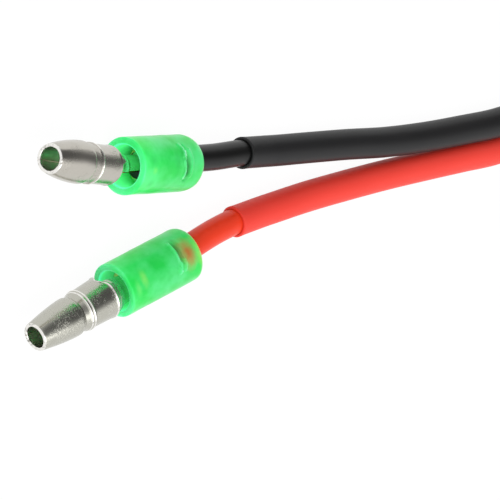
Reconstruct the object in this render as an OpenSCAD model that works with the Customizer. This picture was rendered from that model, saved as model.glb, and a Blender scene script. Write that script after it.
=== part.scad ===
/* [Bullet terminals] */
// Widest diameter of the bullet's head
head_d = 3.95; // [3.7:0.05:4.2]
// Diameter of the rolled rim at the open tip
tip_d = 2.85; // [2.5:0.05:3.2]
// Diameter of the groove behind the head
groove_d = 3.6; // [3.4:0.05:3.7]
// Diameter of the black lead's barrel, which is squeezed smaller than its head
black_barrel_d = 3.75; // [3.7:0.05:4.3]
// Diameter of the red lead's barrel, which has sprung open
red_barrel_d = 4.15; // [3.7:0.05:4.3]
// How full the barrel stays towards the groove
barrel_fullness = 1.7; // [1.2:0.1:3]
// Height of the fine bead around the front of the barrel
bead_h = 0.1; // [0.05:0.01:0.15]
// Thickness of the rolled sheet
sheet_t = 0.35; // [0.25:0.05:0.45]
// Distance from the tip to the widest part of the head
head_len = 4.6; // [3.8:0.1:5.2]
// Distance from the widest part of the head to the groove
shoulder_len = 0.3; // [0.2:0.05:0.6]
// Length over which the barrel rounds down to the groove
groove_len = 0.7; // [0.5:0.05:1]
// Distance from the bead to where that rounding starts
step_len = 0.5; // [0.2:0.05:0.7]
// Length of the barrel behind the bead
barrel_len = 2.8; // [2:0.1:4]
// Length of the open neck between the barrel and the crimps
neck_len = 2; // [1.5:0.1:3]
// Angle that the sheet covers at the open neck of the black lead's bullet
black_neck_angle = 100; // [70:5:150]
// Angle that the sheet covers at the open neck of the red lead's bullet
red_neck_angle = 160; // [70:5:180]
// Angle that the sheet covers between the two crimps
strip_angle = 90; // [70:5:150]
// Width of the seam where the rolled sheet meets
seam_w = 0.1; // [0.05:0.01:0.2]

/* [Crimps] */
// Length of the crimp on the bare strands
strand_crimp_len = 2.8; // [2:0.1:3]
// Length of the strip between the two crimps
transition_len = 1; // [0.8:0.1:1.2]
// Length of the crimp on the wire's jacket
jacket_crimp_len = 2.4; // [1.5:0.1:2.6]
// Gap between the crimp's two wings
wing_gap = 0.3; // [0.1:0.05:0.6]
// Length of strands that stand out in front of their crimp
brush_len = 0.8; // [0.4:0.1:1.4]

/* [Terminal sleeves] */
// Outer diameter of the soft sleeve
sleeve_d = 5.5; // [5.3:0.1:6]
// Length of the sleeve
sleeve_len = 9.6; // [9:0.1:12]
// Diameter of the bore at the open front
sleeve_bore_d = 4.1; // [3.8:0.1:4.4]
// How far the sleeve's rounded rear end draws in
sleeve_round = 0.85; // [0.5:0.05:0.9]
// Length of the sleeve's rounded rear end
round_len = 1.3; // [0.8:0.1:2]
// Length of the narrow hole at the rear, around the wire
grip_len = 1.1; // [0.8:0.1:1.4]
// Play between the wire and the narrow hole, on the radius
grip_play = 0.5; // [0.48:0.01:0.6]

/* [Leads] */
// Outer diameter of the wire's jacket
wire_d = 2.6; // [2.2:0.1:2.8]
// Diameter of the bundle of copper strands
strand_d = 1.3; // [1:0.1:1.4]
// Outer diameter of the shrunk tube over the wire
shrink_d = 3.1; // [3:0.05:3.25]
// Play between the wire and the shrunk tube, on the radius
shrink_play = 0.05; // [0.03:0.01:0.06]

/* [Socket shell] */
// Outer diameter of the threaded bush
thread_d = 11; // [10.5:0.1:11.5]
// Length of the thread behind the flange
thread_len = 10.5; // [9.5:0.1:12]
// Wall of the bush under the thread
bush_wall = 1.05; // [0.8:0.05:1.2]
// Diameter of the front flange
flange_d = 14; // [13.5:0.1:14]
// Thickness of the front flange
flange_t = 2; // [1.5:0.1:3]
// Chamfer on the edges of the bush
bush_chamfer = 0.4; // [0.2:0.05:0.6]
// Thickness of the rubber gasket behind the flange
gasket_t = 1; // [0.6:0.1:1.5]
// Radial width of the rubber gasket
gasket_w = 1.2; // [0.8:0.1:1.25]
// Size of the hexagon nut across its flats
nut_af = 14; // [14:0.1:16]
// Thickness of the hexagon nut
nut_t = 2.5; // [2:0.1:3]
// Distance from the flange's seat to the middle of the nut
nut_drop = 6; // [5:0.1:7]
// Thickness of the split lock washer
washer_t = 0.6; // [0.4:0.1:1]
// Radial width of the split lock washer
washer_w = 1.2; // [0.8:0.1:1.25]
// Gap in the split lock washer
washer_gap = 0.8; // [0.4:0.1:1.5]

/* [Socket inside] */
// Outer diameter of the plug that goes in
plug_d = 5.5; // [5:0.1:5.6]
// Play around the plug, on the diameter
plug_play = 0.5; // [0.3:0.1:0.6]
// Depth that the plug goes in
plug_depth = 8.4; // [7.5:0.1:9]
// Distance of the liner's front face behind the flange's face
liner_inset = 0.4; // [0.2:0.1:1]
// Thickness of the liner's floor
liner_floor = 1.4; // [1.1:0.1:2]
// Diameter of the centre pin
pin_d = 2.1; // [1.8:0.1:2.5]
// Diameter of the centre pin's foot
pin_foot_d = 2.6; // [2.4:0.1:2.7]
// Thickness of the centre pin's foot
pin_foot_t = 0.8; // [0.5:0.1:0.9]
// Distance of the pin's nose behind the liner's front face
pin_inset = 1.6; // [1:0.1:3]
// Thickness of the stamped contact strips
strip_t = 0.4; // [0.3:0.05:0.5]
// Width of the stamped contact strips
strip_w = 2; // [1.6:0.1:2.1]
// Length of the moulded base at the rear
base_len = 5.4; // [4:0.1:6]
// Length of the solder tags behind the base
tag_len = 5; // [4.2:0.1:5.5]
// Distance of each solder tag from the socket's axis
tag_x = 1.65; // [1.65:0.01:1.7]
// Length of the solder on each tag
solder_len = 3.2; // [2:0.1:3.6]
// Length of bare strands between a tag and its wire
tail_len = 2.5; // [2:0.1:3.5]
// How far the spring strip stands into the plug's way
spring_bite = 0.05; // [0.02:0.01:0.1]
// Distance of the spring strip's end behind the liner's front face
spring_inset = 1.4; // [1:0.1:3]

/* [Hidden] */
$fn = 64;

// Colours as the photograph shows them
tin = "#c9c7c3";
brass = "#c9b26a";
copper = "#b87344";
green_pvc = "#3fe36d";
black_pvc = "#1c1c1c";
black_tube = "#333335";
red_pvc = "#e8432c";
red_tube = "#f04a3e";
nickel = "#bdbdb8";
rubber = "#222222";
moulded = "#26262a";
solder = "#a9abad";

// Clearances of the fits
slip = 0.05;
crimp_play = 0.03;
weld_inset = 0.06;
cut_over = 1;

// Steps along each curved stretch of the bullet's outline
curve_steps = 6;
// How full the head's taper is: 1 is a straight cone
head_fullness = 1.55;

// Sides of the swept cords
cord_sides = 8;

// Where each sleeve's open front lies, how its lead's end is turned, how far the terminal stands
// out of the sleeve and how far off the sleeve's axis the wire leaves it
black_yaw = -8.5;
black_pitch = 3;
black_mouth = [78.65, 41.15, sleeve_d / 2 + sleeve_len * sin(black_pitch)];
black_bullet_yaw = -16.5;
black_bullet_pitch = 6.5;
black_roll = 28;
black_neck_turn = 45;
black_pull = 1;
black_exit = [0, -0.2, -0.25];
red_yaw = 15;
red_pitch = 0;
red_mouth = [75.6, 55.05, sleeve_d / 2 + sleeve_len * sin(red_pitch)];
red_bullet_yaw = 14;
red_bullet_pitch = 4;
red_roll = 16;
red_neck_turn = -15;
red_pull = 0;
red_exit = [0, -0.2, -0.2];

// Where each bullet joins its crimps
black_neck = on_axis(black_mouth, black_yaw, black_pitch, -black_pull);
red_neck = on_axis(red_mouth, red_yaw, red_pitch, -red_pull);

// Stations along a bullet, from its crimps towards the tip
barrel_rear = neck_len;
bead_at = barrel_rear + barrel_len;
groove_rear = bead_at + step_len;
groove_front = groove_rear + groove_len;
widest_at = groove_front + shoulder_len;
tip_at = widest_at + head_len;

// Stations of the crimps, from the bullet towards the wire
strand_crimp_at = 0.1;
strand_crimp_end = strand_crimp_at + strand_crimp_len;
jacket_crimp_at = strand_crimp_end + transition_len;
jacket_crimp_end = jacket_crimp_at + jacket_crimp_len;
wire_at = jacket_crimp_at + sheet_t + slip;
bend_at = jacket_crimp_end + sheet_t;

// Radii of the crimps
strand_crimp_r = strand_d / 2 + crimp_play;
jacket_crimp_r = wire_d / 2 + crimp_play;

// Height of a lead that lies on the surface, and of the socket's axis above it
lay = shrink_d / 2;
axis_h = max(nut_af, flange_d) / 2;
// How far a lead has lifted off the surface where it starts to rise
first_lift = 0.2;

// Stations along the socket, from the middle of the nut out of its mouth
seat = nut_drop;
face = seat + flange_t;
bush_rear = seat - thread_len;
liner_front = face - liner_inset;
cup_floor = liner_front - plug_depth;
liner_rear = cup_floor - liner_floor;
base_front = liner_rear - strip_t;
base_rear = base_front - base_len;
tag_end = base_rear - tag_len;
wire_end = tag_end - tail_len;

// Radii of the socket
thread_r = thread_d / 2;
bush_bore_r = thread_r - bush_wall;
liner_r = bush_bore_r - slip;
cup_r = (plug_d + plug_play) / 2;
spring_r = plug_d / 2 - spring_bite;

// The last stretch of a route, which rises from the surface to the wire's bared rear end
function rise(x) = [
  for (p = [[14.5, lay - axis_h + first_lift], [10.5, -4], [6.5, -1.9], [3, -0.3], [1, 0], [0, 0]])
    [x, p[0] - wire_end, axis_h + p[1]]
];
// Routes of the two leads on the surface, from the sleeves to the solder tags
black_run = [
  [64.9, 42.95, 2.15], [60.7, 43.4, 1.75], [57, 43.9, lay], [51, 44.5, lay], [45, 45.1, lay],
  [39, 45.8, lay], [33, 46.2, lay], [27, 46.35, lay], [21, 46.35, lay], [13, 45, lay],
  [7, 41, lay], [3, 35, lay], each rise(tag_x)
];
red_run = [
  [62.5, 51.4, 2.15], [59.7, 51.05, 1.8], [55, 50.7, lay], [49.5, 50.2, lay], [43.7, 49.9, lay],
  [37.8, 49.7, lay], [31.7, 49.65, lay], [26, 49.65, lay], [20.7, 49.65, lay], [11.7, 48, lay],
  [4.7, 43.3, lay], [0, 36.3, lay], each rise(-tag_x)
];
// The point of each route at which the shrunk tube starts
shrink_from = 1;

// Puts a piece that is drawn along +Z where a lead's end lies
module at_end(mouth, yaw, pitch, roll) {
  translate(mouth)
    rotate([0, 0, yaw])
      rotate([0, 90 - pitch, 0])
        rotate([0, 0, 180 + roll])
          children();
}

// Puts a piece that is drawn along +Z in the socket, with its mouth towards -Y
module at_socket() {
  translate([0, 0, axis_h])
    rotate([90, 0, 0])
      children();
}

// A tube along +Z between two stations
module tube(r_in, r_out, z_from, z_to) {
  rotate_extrude()
    translate([r_in, z_from])
      square([r_out - r_in, z_to - z_from]);
}

// A curved strip of sheet around +Z that narrows from one station to the next
module tapered_strip(r_from, z_from, r_to, z_to, angle, turn) {
  t = sheet_t - 2 * weld_inset;
  outline = [
    [r_from + weld_inset, z_from], [r_from + weld_inset + t, z_from],
    [r_to + weld_inset + t, z_to], [r_to + weld_inset, z_to]
  ];
  rotate([0, 0, turn - angle / 2])
    rotate_extrude(angle = angle)
      polygon(outline);
}

// A crimp that is closed around a wire, with a gap between its two wings
module crimp(r_in, z_from, z_to) {
  difference() {
    tube(r_in, r_in + sheet_t, z_from, z_to);
    translate([-r_in - sheet_t - cut_over, -wing_gap / 2, z_from - cut_over])
      cube([r_in + sheet_t + cut_over, wing_gap, z_to - z_from + 2 * cut_over]);
  }
}

// The outside of the bullet from its barrel to its tip, as radius and station
function bullet_outline(barrel_d) = concat(
  [[barrel_d / 2, barrel_rear]],
  [for (i = [0:curve_steps])
    let (t = i / curve_steps)
    [barrel_d / 2 - (barrel_d - groove_d) / 2 * pow(t, barrel_fullness), groove_rear + groove_len * t]],
  [for (i = [1:curve_steps])
    let (t = i / curve_steps)
    [groove_d / 2 + (head_d - groove_d) / 2 * sin(90 * t), groove_front + shoulder_len * t]],
  [for (i = [1:curve_steps])
    let (t = i / curve_steps)
    [tip_d / 2 + (head_d - tip_d) / 2 * (1 - pow(t, head_fullness)),
     widest_at + (head_len - sheet_t / 2) * t]]
);

// The rolled shell of the bullet: barrel, bead, groove, head and rim
module bullet_shell(barrel_d) {
  outside = bullet_outline(barrel_d);
  inside = [for (i = [len(outside) - 1:-1:0]) outside[i] - [sheet_t, 0]];
  difference() {
    rotate_extrude() {
      polygon(concat(outside, inside));
      translate([(tip_d - sheet_t) / 2, tip_at - sheet_t / 2])
        circle(d = sheet_t, $fn = 24);
      translate([barrel_d / 2, bead_at])
        circle(r = bead_h, $fn = 24);
    }
    translate([-head_d, -seam_w / 2, barrel_rear - cut_over])
      cube([head_d, seam_w, tip_at - barrel_rear + 2 * cut_over]);
  }
}

// One stamped terminal: the bullet leans a little against its crimps at the open neck
module bullet_terminal(neck, yaw, pitch, bullet_yaw, bullet_pitch, roll, barrel_d, neck_angle, neck_turn) {
  color(tin)
    union() {
      at_end(neck, bullet_yaw, bullet_pitch, roll) {
        bullet_shell(barrel_d);
        tapered_strip(barrel_d / 2 - sheet_t, barrel_rear + sheet_t,
                      strand_crimp_r, -strand_crimp_at - sheet_t / 2, neck_angle, neck_turn);
      }
      at_end(neck, yaw, pitch, roll) {
        crimp(strand_crimp_r, -strand_crimp_end, -strand_crimp_at);
        tapered_strip(strand_crimp_r, -strand_crimp_end + sheet_t,
                      jacket_crimp_r, -jacket_crimp_at - sheet_t, strip_angle, 0);
        crimp(jacket_crimp_r, -jacket_crimp_end, -jacket_crimp_at);
      }
    }
}

// One soft sleeve over the crimps, open in front and narrow around the wire
module terminal_sleeve(mouth, yaw, pitch) {
  r = sleeve_d / 2;
  bore_r = sleeve_bore_d / 2;
  grip_r = wire_d / 2 + grip_play;
  outline = concat(
    [[bore_r, 0], [r, 0]],
    [for (i = [0:curve_steps])
      let (a = 90 * i / curve_steps)
      [r - sleeve_round * (1 - cos(a)), -sleeve_len + round_len * (1 - sin(a))]],
    [[grip_r, -sleeve_len], [grip_r, -sleeve_len + grip_len],
     [bore_r, -sleeve_len + grip_len + bore_r - grip_r]]
  );
  color(green_pvc)
    at_end(mouth, yaw, pitch, 0)
      rotate_extrude()
        polygon(outline);
}

// The bare strands in their crimp
module crimped_strands(neck, yaw, pitch) {
  color(copper)
    at_end(neck, yaw, pitch, 0)
      translate([0, 0, -wire_at])
        cylinder(d = strand_d, h = wire_at - strand_crimp_at + brush_len);
}

// Unit vectors of a route at one of its points
function unit(v) = v / norm(v);
function heading(p, i) = unit(p[min(i + 1, len(p) - 1)] - p[max(i - 1, 0)]);
function across(p, i) = unit(cross([0, 0, 1], heading(p, i)));
function upward(p, i) = cross(heading(p, i), across(p, i));

// One ring of points around a route
function ring(p, i, r) = [
  for (k = [0:cord_sides - 1])
    let (a = 360 * (k + 0.5) / cord_sides)
    p[i] + r * (cos(a) * across(p, i) + sin(a) * upward(p, i))
];
function rings(p, r) = [for (i = [0:len(p) - 1]) each ring(p, i, r)];

// The triangles between two rows of points, each given by its first number
function band(a, b) = [
  for (k = [0:cord_sides - 1])
    let (n = (k + 1) % cord_sides)
    each [[a + k, b + n, a + n], [a + k, b + k, b + n]]
];

// A solid cord along a route
module cord(route, r) {
  last = (len(route) - 1) * cord_sides;
  polyhedron(
    points = rings(route, r),
    faces = concat(
      [for (i = [0:cord_sides:last - 1]) each band(i, i + cord_sides)],
      [[for (k = [0:cord_sides - 1]) k]],
      [[for (k = [cord_sides - 1:-1:0]) last + k]]
    )
  );
}

// A hollow tube along a route
module hose(route, r_in, r_out) {
  last = (len(route) - 1) * cord_sides;
  inner = last + cord_sides;
  polyhedron(
    points = concat(rings(route, r_out), rings(route, r_in)),
    faces = concat(
      [for (i = [0:cord_sides:last - 1]) each band(i, i + cord_sides)],
      [for (i = [0:cord_sides:last - 1]) each band(inner + i + cord_sides, inner + i)],
      band(inner, 0),
      band(last, inner + last)
    )
  );
}

// A point on the axis of a lead's end, so far behind another
function on_axis(from, yaw, pitch, station) =
  from - station * [cos(pitch) * cos(yaw), cos(pitch) * sin(yaw), sin(pitch)];

// One wire in its jacket, from the jacket crimp to its bared rear end
module wire(mouth, neck, yaw, pitch, exit, run, tint) {
  crimped = [for (s = [wire_at, bend_at]) on_axis(neck, yaw, pitch, s)];
  rear = on_axis(mouth, yaw, pitch, sleeve_len) + exit;
  color(tint)
    cord(concat(crimped, [rear], run), wire_d / 2);
}

// One shrunk tube over a wire, up to the socket and over its solder tag
module heat_shrink(run, tint) {
  covered = [for (i = [shrink_from:len(run) - 1]) run[i]];
  rear = [run[len(run) - 1][0], -base_rear + strip_t, axis_h];
  color(tint)
    hose(concat(covered, [rear]), wire_d / 2 + shrink_play, shrink_d / 2);
}

// The bared strands behind a wire, up to its solder tag
module tail_strands(side) {
  color(copper)
    at_socket()
      translate([side * tag_x, 0, wire_end])
        cylinder(d = strand_d, h = tag_end - wire_end);
}

// The solder that joins the strands to a tag
module solder_joint(side) {
  r = norm([strip_w, strip_t]) / 2 + slip;
  steps = 2 * curve_steps;
  outline = concat(
    [[0, -solder_len / 2]],
    [for (i = [0:steps])
      let (t = i / steps)
      [strand_d / 2 + (r - strand_d / 2) * sin(180 * t), solder_len * (t - 0.5)]],
    [[0, solder_len / 2]]
  );
  color(solder)
    at_socket()
      difference() {
        translate([side * tag_x, 0, tag_end])
          rotate_extrude()
            polygon(outline);
        translate([side * tag_x, 0, tag_end - solder_len])
          cylinder(d = strand_d, h = solder_len);
        translate([side * tag_x - strip_t / 2, -strip_w / 2, tag_end])
          cube([strip_t, strip_w, solder_len]);
      }
}

// The threaded metal bush with its front flange
module socket_bush() {
  c = bush_chamfer;
  outline = [
    [bush_bore_r, bush_rear], [thread_r - c, bush_rear], [thread_r, bush_rear + c],
    [thread_r, seat], [flange_d / 2, seat], [flange_d / 2, face - c],
    [flange_d / 2 - c, face], [bush_bore_r + c, face], [bush_bore_r, face - c]
  ];
  color(nickel)
    at_socket()
      rotate_extrude()
        polygon(outline);
}

// The rubber gasket between the flange and the panel
module panel_gasket() {
  color(rubber)
    at_socket()
      tube(thread_r + slip, thread_r + slip + gasket_w, seat - gasket_t, seat);
}

// The split lock washer in front of the nut
module lock_washer() {
  r = thread_r + slip;
  color(nickel)
    at_socket()
      difference() {
        tube(r, r + washer_w, nut_t / 2, nut_t / 2 + washer_t);
        translate([-washer_gap / 2, 0, nut_t / 2 - cut_over])
          cube([washer_gap, r + washer_w + cut_over, washer_t + 2 * cut_over]);
      }
}

// The hexagon nut, with one flat on the surface
module hex_nut() {
  corner_r = nut_af / 2 / cos(30);
  c = corner_r - nut_af / 2;
  h = nut_t / 2;
  outline = [
    [thread_r + slip, -h], [nut_af / 2, -h], [corner_r, -h + c * tan(30)],
    [corner_r, h - c * tan(30)], [nut_af / 2, h], [thread_r + slip, h]
  ];
  color(nickel)
    at_socket()
      intersection() {
        translate([0, 0, -h])
          cylinder(r = corner_r, h = nut_t, $fn = 6);
        rotate_extrude()
          polygon(outline);
      }
}

// The moulded cup that the plug goes in
module socket_liner() {
  pin_r = pin_d / 2 + slip;
  foot_r = pin_foot_d / 2 + slip;
  foot_top = liner_rear + pin_foot_t;
  outline = [
    [foot_r, liner_rear], [liner_r, liner_rear], [liner_r, liner_front],
    [cup_r + liner_inset, liner_front], [cup_r, liner_front - liner_inset],
    [cup_r, cup_floor], [pin_r, cup_floor], [pin_r, foot_top], [foot_r, foot_top]
  ];
  slot_w = strip_w + 2 * slip;
  color(moulded)
    at_socket()
      difference() {
        rotate_extrude()
          polygon(outline);
        translate([spring_r, -slot_w / 2, liner_rear - cut_over])
          cube([strip_t + slip, slot_w, liner_front - spring_inset + slip - liner_rear + cut_over]);
      }
}

// The turned centre pin on its foot
module centre_pin() {
  nose_r = pin_d / 2;
  nose_at = liner_front - pin_inset - nose_r;
  color(nickel)
    at_socket() {
      translate([0, 0, liner_rear])
        cylinder(d = pin_foot_d, h = pin_foot_t);
      translate([0, 0, liner_rear])
        cylinder(d = pin_d, h = nose_at - liner_rear);
      translate([0, 0, nose_at])
        intersection() {
          sphere(r = nose_r);
          cylinder(r = nose_r, h = nose_r);
        }
    }
}

// A solder tag that runs back through the base
module tag(side) {
  translate([side * tag_x - strip_t / 2, -strip_w / 2, tag_end])
    cube([strip_t, strip_w, liner_rear - tag_end]);
}

// The stamped strip under the centre pin, with its solder tag
module centre_tag() {
  reach = pin_d / 2;
  color(brass)
    at_socket() {
      tag(-1);
      translate([-tag_x - strip_t / 2, -strip_w / 2, base_front])
        cube([tag_x + strip_t / 2 + reach, strip_w, strip_t]);
    }
}

// The stamped strip along the cup's wall, with its solder tag
module outer_contact() {
  color(brass)
    at_socket() {
      tag(1);
      translate([tag_x - strip_t / 2, -strip_w / 2, base_front])
        cube([spring_r + strip_t - tag_x + strip_t / 2, strip_w, strip_t]);
      translate([spring_r, -strip_w / 2, base_front])
        cube([strip_t, strip_w, liner_front - spring_inset - base_front]);
    }
}

// The moulded base that closes the rear and holds both tags
module rear_base() {
  slot_t = strip_t + 2 * slip;
  slot_w = strip_w + 2 * slip;
  color(moulded)
    at_socket()
      difference() {
        translate([0, 0, base_rear])
          cylinder(r = liner_r, h = base_len);
        for (side = [-1, 1])
          translate([side * tag_x - slot_t / 2, -slot_w / 2, base_rear - cut_over])
            cube([slot_t, slot_w, base_len + 2 * cut_over]);
      }
}

bullet_terminal(black_neck, black_yaw, black_pitch, black_bullet_yaw, black_bullet_pitch, black_roll,  // black_bullet_terminal
                  black_barrel_d, black_neck_angle, black_neck_turn);
terminal_sleeve(black_mouth, black_yaw, black_pitch);  // black_terminal_sleeve
crimped_strands(black_neck, black_yaw, black_pitch);  // black_crimped_strands
wire(black_mouth, black_neck, black_yaw, black_pitch, black_exit, black_run, black_pvc);  // black_wire
heat_shrink(black_run, black_tube);  // black_heat_shrink
tail_strands(1);  // black_tail_strands
solder_joint(1);  // black_solder_joint
bullet_terminal(red_neck, red_yaw, red_pitch, red_bullet_yaw, red_bullet_pitch, red_roll,  // red_bullet_terminal
                  red_barrel_d, red_neck_angle, red_neck_turn);
terminal_sleeve(red_mouth, red_yaw, red_pitch);  // red_terminal_sleeve
crimped_strands(red_neck, red_yaw, red_pitch);  // red_crimped_strands
wire(red_mouth, red_neck, red_yaw, red_pitch, red_exit, red_run, red_pvc);  // red_wire
heat_shrink(red_run, red_tube);  // red_heat_shrink
tail_strands(-1);  // red_tail_strands
solder_joint(-1);  // red_solder_joint
socket_bush();
panel_gasket();
lock_washer();
hex_nut();
socket_liner();
centre_pin();
centre_tag();
outer_contact();
rear_base();
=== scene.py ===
"""Looks of a charging port lead: two plated bullet terminals under soft sleeves, their leads in
shrunk tube, and the round panel socket that the leads are soldered to."""

import logging
import math
from abc import ABC, abstractmethod
from dataclasses import dataclass
from enum import Enum, IntEnum
from typing import ClassVar, Iterable, Sequence

import bmesh
import bpy
from mathutils import Matrix, Vector, noise


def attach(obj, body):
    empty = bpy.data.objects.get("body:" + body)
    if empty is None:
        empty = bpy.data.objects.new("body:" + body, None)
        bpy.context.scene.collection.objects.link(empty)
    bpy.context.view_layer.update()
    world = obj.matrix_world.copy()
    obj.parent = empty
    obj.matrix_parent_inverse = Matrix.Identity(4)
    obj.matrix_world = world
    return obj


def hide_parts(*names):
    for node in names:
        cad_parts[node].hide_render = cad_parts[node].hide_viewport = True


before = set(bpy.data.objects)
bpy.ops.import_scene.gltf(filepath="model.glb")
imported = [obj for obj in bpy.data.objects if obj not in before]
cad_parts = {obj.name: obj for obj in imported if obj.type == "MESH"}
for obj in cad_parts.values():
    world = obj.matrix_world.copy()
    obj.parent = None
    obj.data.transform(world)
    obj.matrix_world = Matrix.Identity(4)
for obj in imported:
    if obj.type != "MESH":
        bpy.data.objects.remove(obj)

LOG = logging.getLogger("charging_lead")

# One millimetre in metres: sizes below are millimetres, and meshes are metres
MM = 0.001
# The body that every piece rides on
BODY = "root"
# Name of the coordinates that run along and around a piece, in metres
LAY = "lay"
# The angle in degrees past which an edge is sharp
SHARP_ANGLE = 40.0
# Height of a lead that lies on the surface
LAY_H = 1.55
# Distance of each solder tag from the socket's axis
TAG_X = 1.65
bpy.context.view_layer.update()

Point = tuple[float, float, float]
Knots = Sequence[tuple[float, float]]


def linear(code: str) -> tuple[float, float, float, float]:
    """Turns an sRGB hex colour into linear light.

    Args:
        code: Six hex digits.

    Returns:
        Red, green and blue in linear light, and an alpha of 1.
    """
    parts = [int(code[i:i + 2], 16) / 255 for i in (0, 2, 4)]
    light = [p / 12.92 if p <= 0.04045 else ((p + 0.055) / 1.055) ** 2.4 for p in parts]
    return (*light, 1.0)


def per_size(size: float) -> float:
    """Gives the texture scale at which one feature is so many millimetres wide."""
    return 1 / (size * MM)


def feed(tree: bpy.types.NodeTree, node: bpy.types.Node, inputs: dict) -> None:
    """Sets a node's inputs, or links them.

    Args:
        tree: The tree that holds the node.
        node: The node.
        inputs: Values, or sockets to link from, by the input's name or number.
    """
    for name, value in inputs.items():
        if isinstance(value, bpy.types.NodeSocket):
            tree.links.new(value, node.inputs[name])
        else:
            node.inputs[name].default_value = value


def add(tree: bpy.types.NodeTree, kind: str, inputs: dict | None = None, **settings) -> bpy.types.Node:
    """Adds a node with its settings and links.

    Args:
        tree: The tree that takes the node.
        kind: The node's type.
        inputs: Values, or sockets to link from, by the input's name or number.
        settings: The node's own attributes.

    Returns:
        The new node.
    """
    made = tree.nodes.new(kind)
    for name, value in settings.items():
        setattr(made, name, value)
    feed(tree, made, inputs or {})
    return made


class Finish(ABC):
    """A finish: its material is made once and shared by the pieces that wear it."""

    name: str
    slot: str

    def material(self) -> bpy.types.Material:
        """Gives the finish's material, made on first use.

        Returns:
            The material.
        """
        made = bpy.data.materials.get(self.name)
        if made is None:
            made = bpy.data.materials.new(self.name)
            made.use_nodes = True
            tree = made.node_tree
            self.paint(tree, tree.nodes["Principled BSDF"])
        return made

    @abstractmethod
    def paint(self, tree: bpy.types.NodeTree, shader: bpy.types.Node) -> None:
        """Sets the shader's sockets and lays the nodes that drive them.

        Args:
            tree: The material's tree.
            shader: Its Principled shader.
        """


@dataclass(frozen=True)
class TinPlate(Finish):
    """Bright tin plate on rolled brass sheet: clear reflections, softened by scuffs from tumbling."""

    name: str
    colour: str
    scuffed: str
    # How deep the scuffs are, the share of the noise from which a patch is scuffed, and the scuffs'
    # width, which is as coarse as they need to show
    scuff_depth: float
    scuff_from: float
    scuff: float
    slot: str = "tin_plate"
    # Width of the scuffed patches, and the shares of the noise over which they and the scuffs come in
    patch: float = 1.6
    patch_fade: float = 0.14
    speck_from: float = 0.5
    speck_full: float = 0.7
    # Roughness of the clear plate and of the scuffs
    shine: float = 0.22
    dullness: float = 0.34

    def paint(self, tree: bpy.types.NodeTree, shader: bpy.types.Node) -> None:
        """Speckles colour, roughness and bump with scuffs that come in patches.

        Args:
            tree: The material's tree.
            shader: Its Principled shader.
        """
        place = add(tree, "ShaderNodeTexCoord")
        grain = add(tree, "ShaderNodeTexNoise", {
            "Vector": place.outputs["Object"], "Scale": per_size(self.scuff), "Detail": 2.0})
        patch = add(tree, "ShaderNodeTexNoise", {
            "Vector": place.outputs["Object"], "Scale": per_size(self.patch), "Detail": 2.0})
        speck = add(tree, "ShaderNodeMapRange", {
            "Value": grain.outputs["Fac"], "From Min": self.speck_from, "From Max": self.speck_full})
        where = add(tree, "ShaderNodeMapRange", {
            "Value": patch.outputs["Fac"], "From Min": self.scuff_from,
            "From Max": self.scuff_from + self.patch_fade})
        worn = add(tree, "ShaderNodeMath", {
            0: speck.outputs[0], 1: where.outputs[0]}, operation="MULTIPLY")
        colour = add(tree, "ShaderNodeMix", {
            "Factor": worn.outputs[0], 6: linear(self.colour), 7: linear(self.scuffed)},
            data_type="RGBA")
        rough = add(tree, "ShaderNodeMapRange", {
            "Value": worn.outputs[0], "To Min": self.shine, "To Max": self.dullness})
        bump = add(tree, "ShaderNodeBump", {
            "Height": worn.outputs[0], "Strength": 1.0, "Distance": self.scuff_depth * MM})
        feed(tree, shader, {
            "Metallic": 1.0, "Base Color": colour.outputs[2], "Roughness": rough.outputs[0],
            "Normal": bump.outputs[0]})


@dataclass(frozen=True)
class CutBrass(Finish):
    """Brass on the cut edges of the plated sheet: golden, with the shear's fine lines."""

    name: str = "cut_brass_edge"
    slot: str = "tin_plate"
    colour: str = "d9c07c"
    tarnish: str = "b3925a"
    rough: float = 0.32
    # Width of the shear's lines
    shear: float = 0.08

    def paint(self, tree: bpy.types.NodeTree, shader: bpy.types.Node) -> None:
        """Mottles the brass at the width of the shear's lines.

        Args:
            tree: The material's tree.
            shader: Its Principled shader.
        """
        place = add(tree, "ShaderNodeTexCoord")
        grain = add(tree, "ShaderNodeTexNoise", {
            "Vector": place.outputs["Object"], "Scale": per_size(self.shear), "Detail": 3.0})
        colour = add(tree, "ShaderNodeMix", {
            "Factor": grain.outputs["Fac"], 6: linear(self.colour), 7: linear(self.tarnish)},
            data_type="RGBA")
        feed(tree, shader, {
            "Metallic": 1.0, "Roughness": self.rough, "Base Color": colour.outputs[2]})


@dataclass(frozen=True)
class Mark:
    """A place on a sleeve's outside where what lies inside shows dimly, or where shade in a fold or a
    highlight is painted on.
    """

    station: float
    angle: float
    length: float
    width: float
    colour: str
    strength: float


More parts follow.
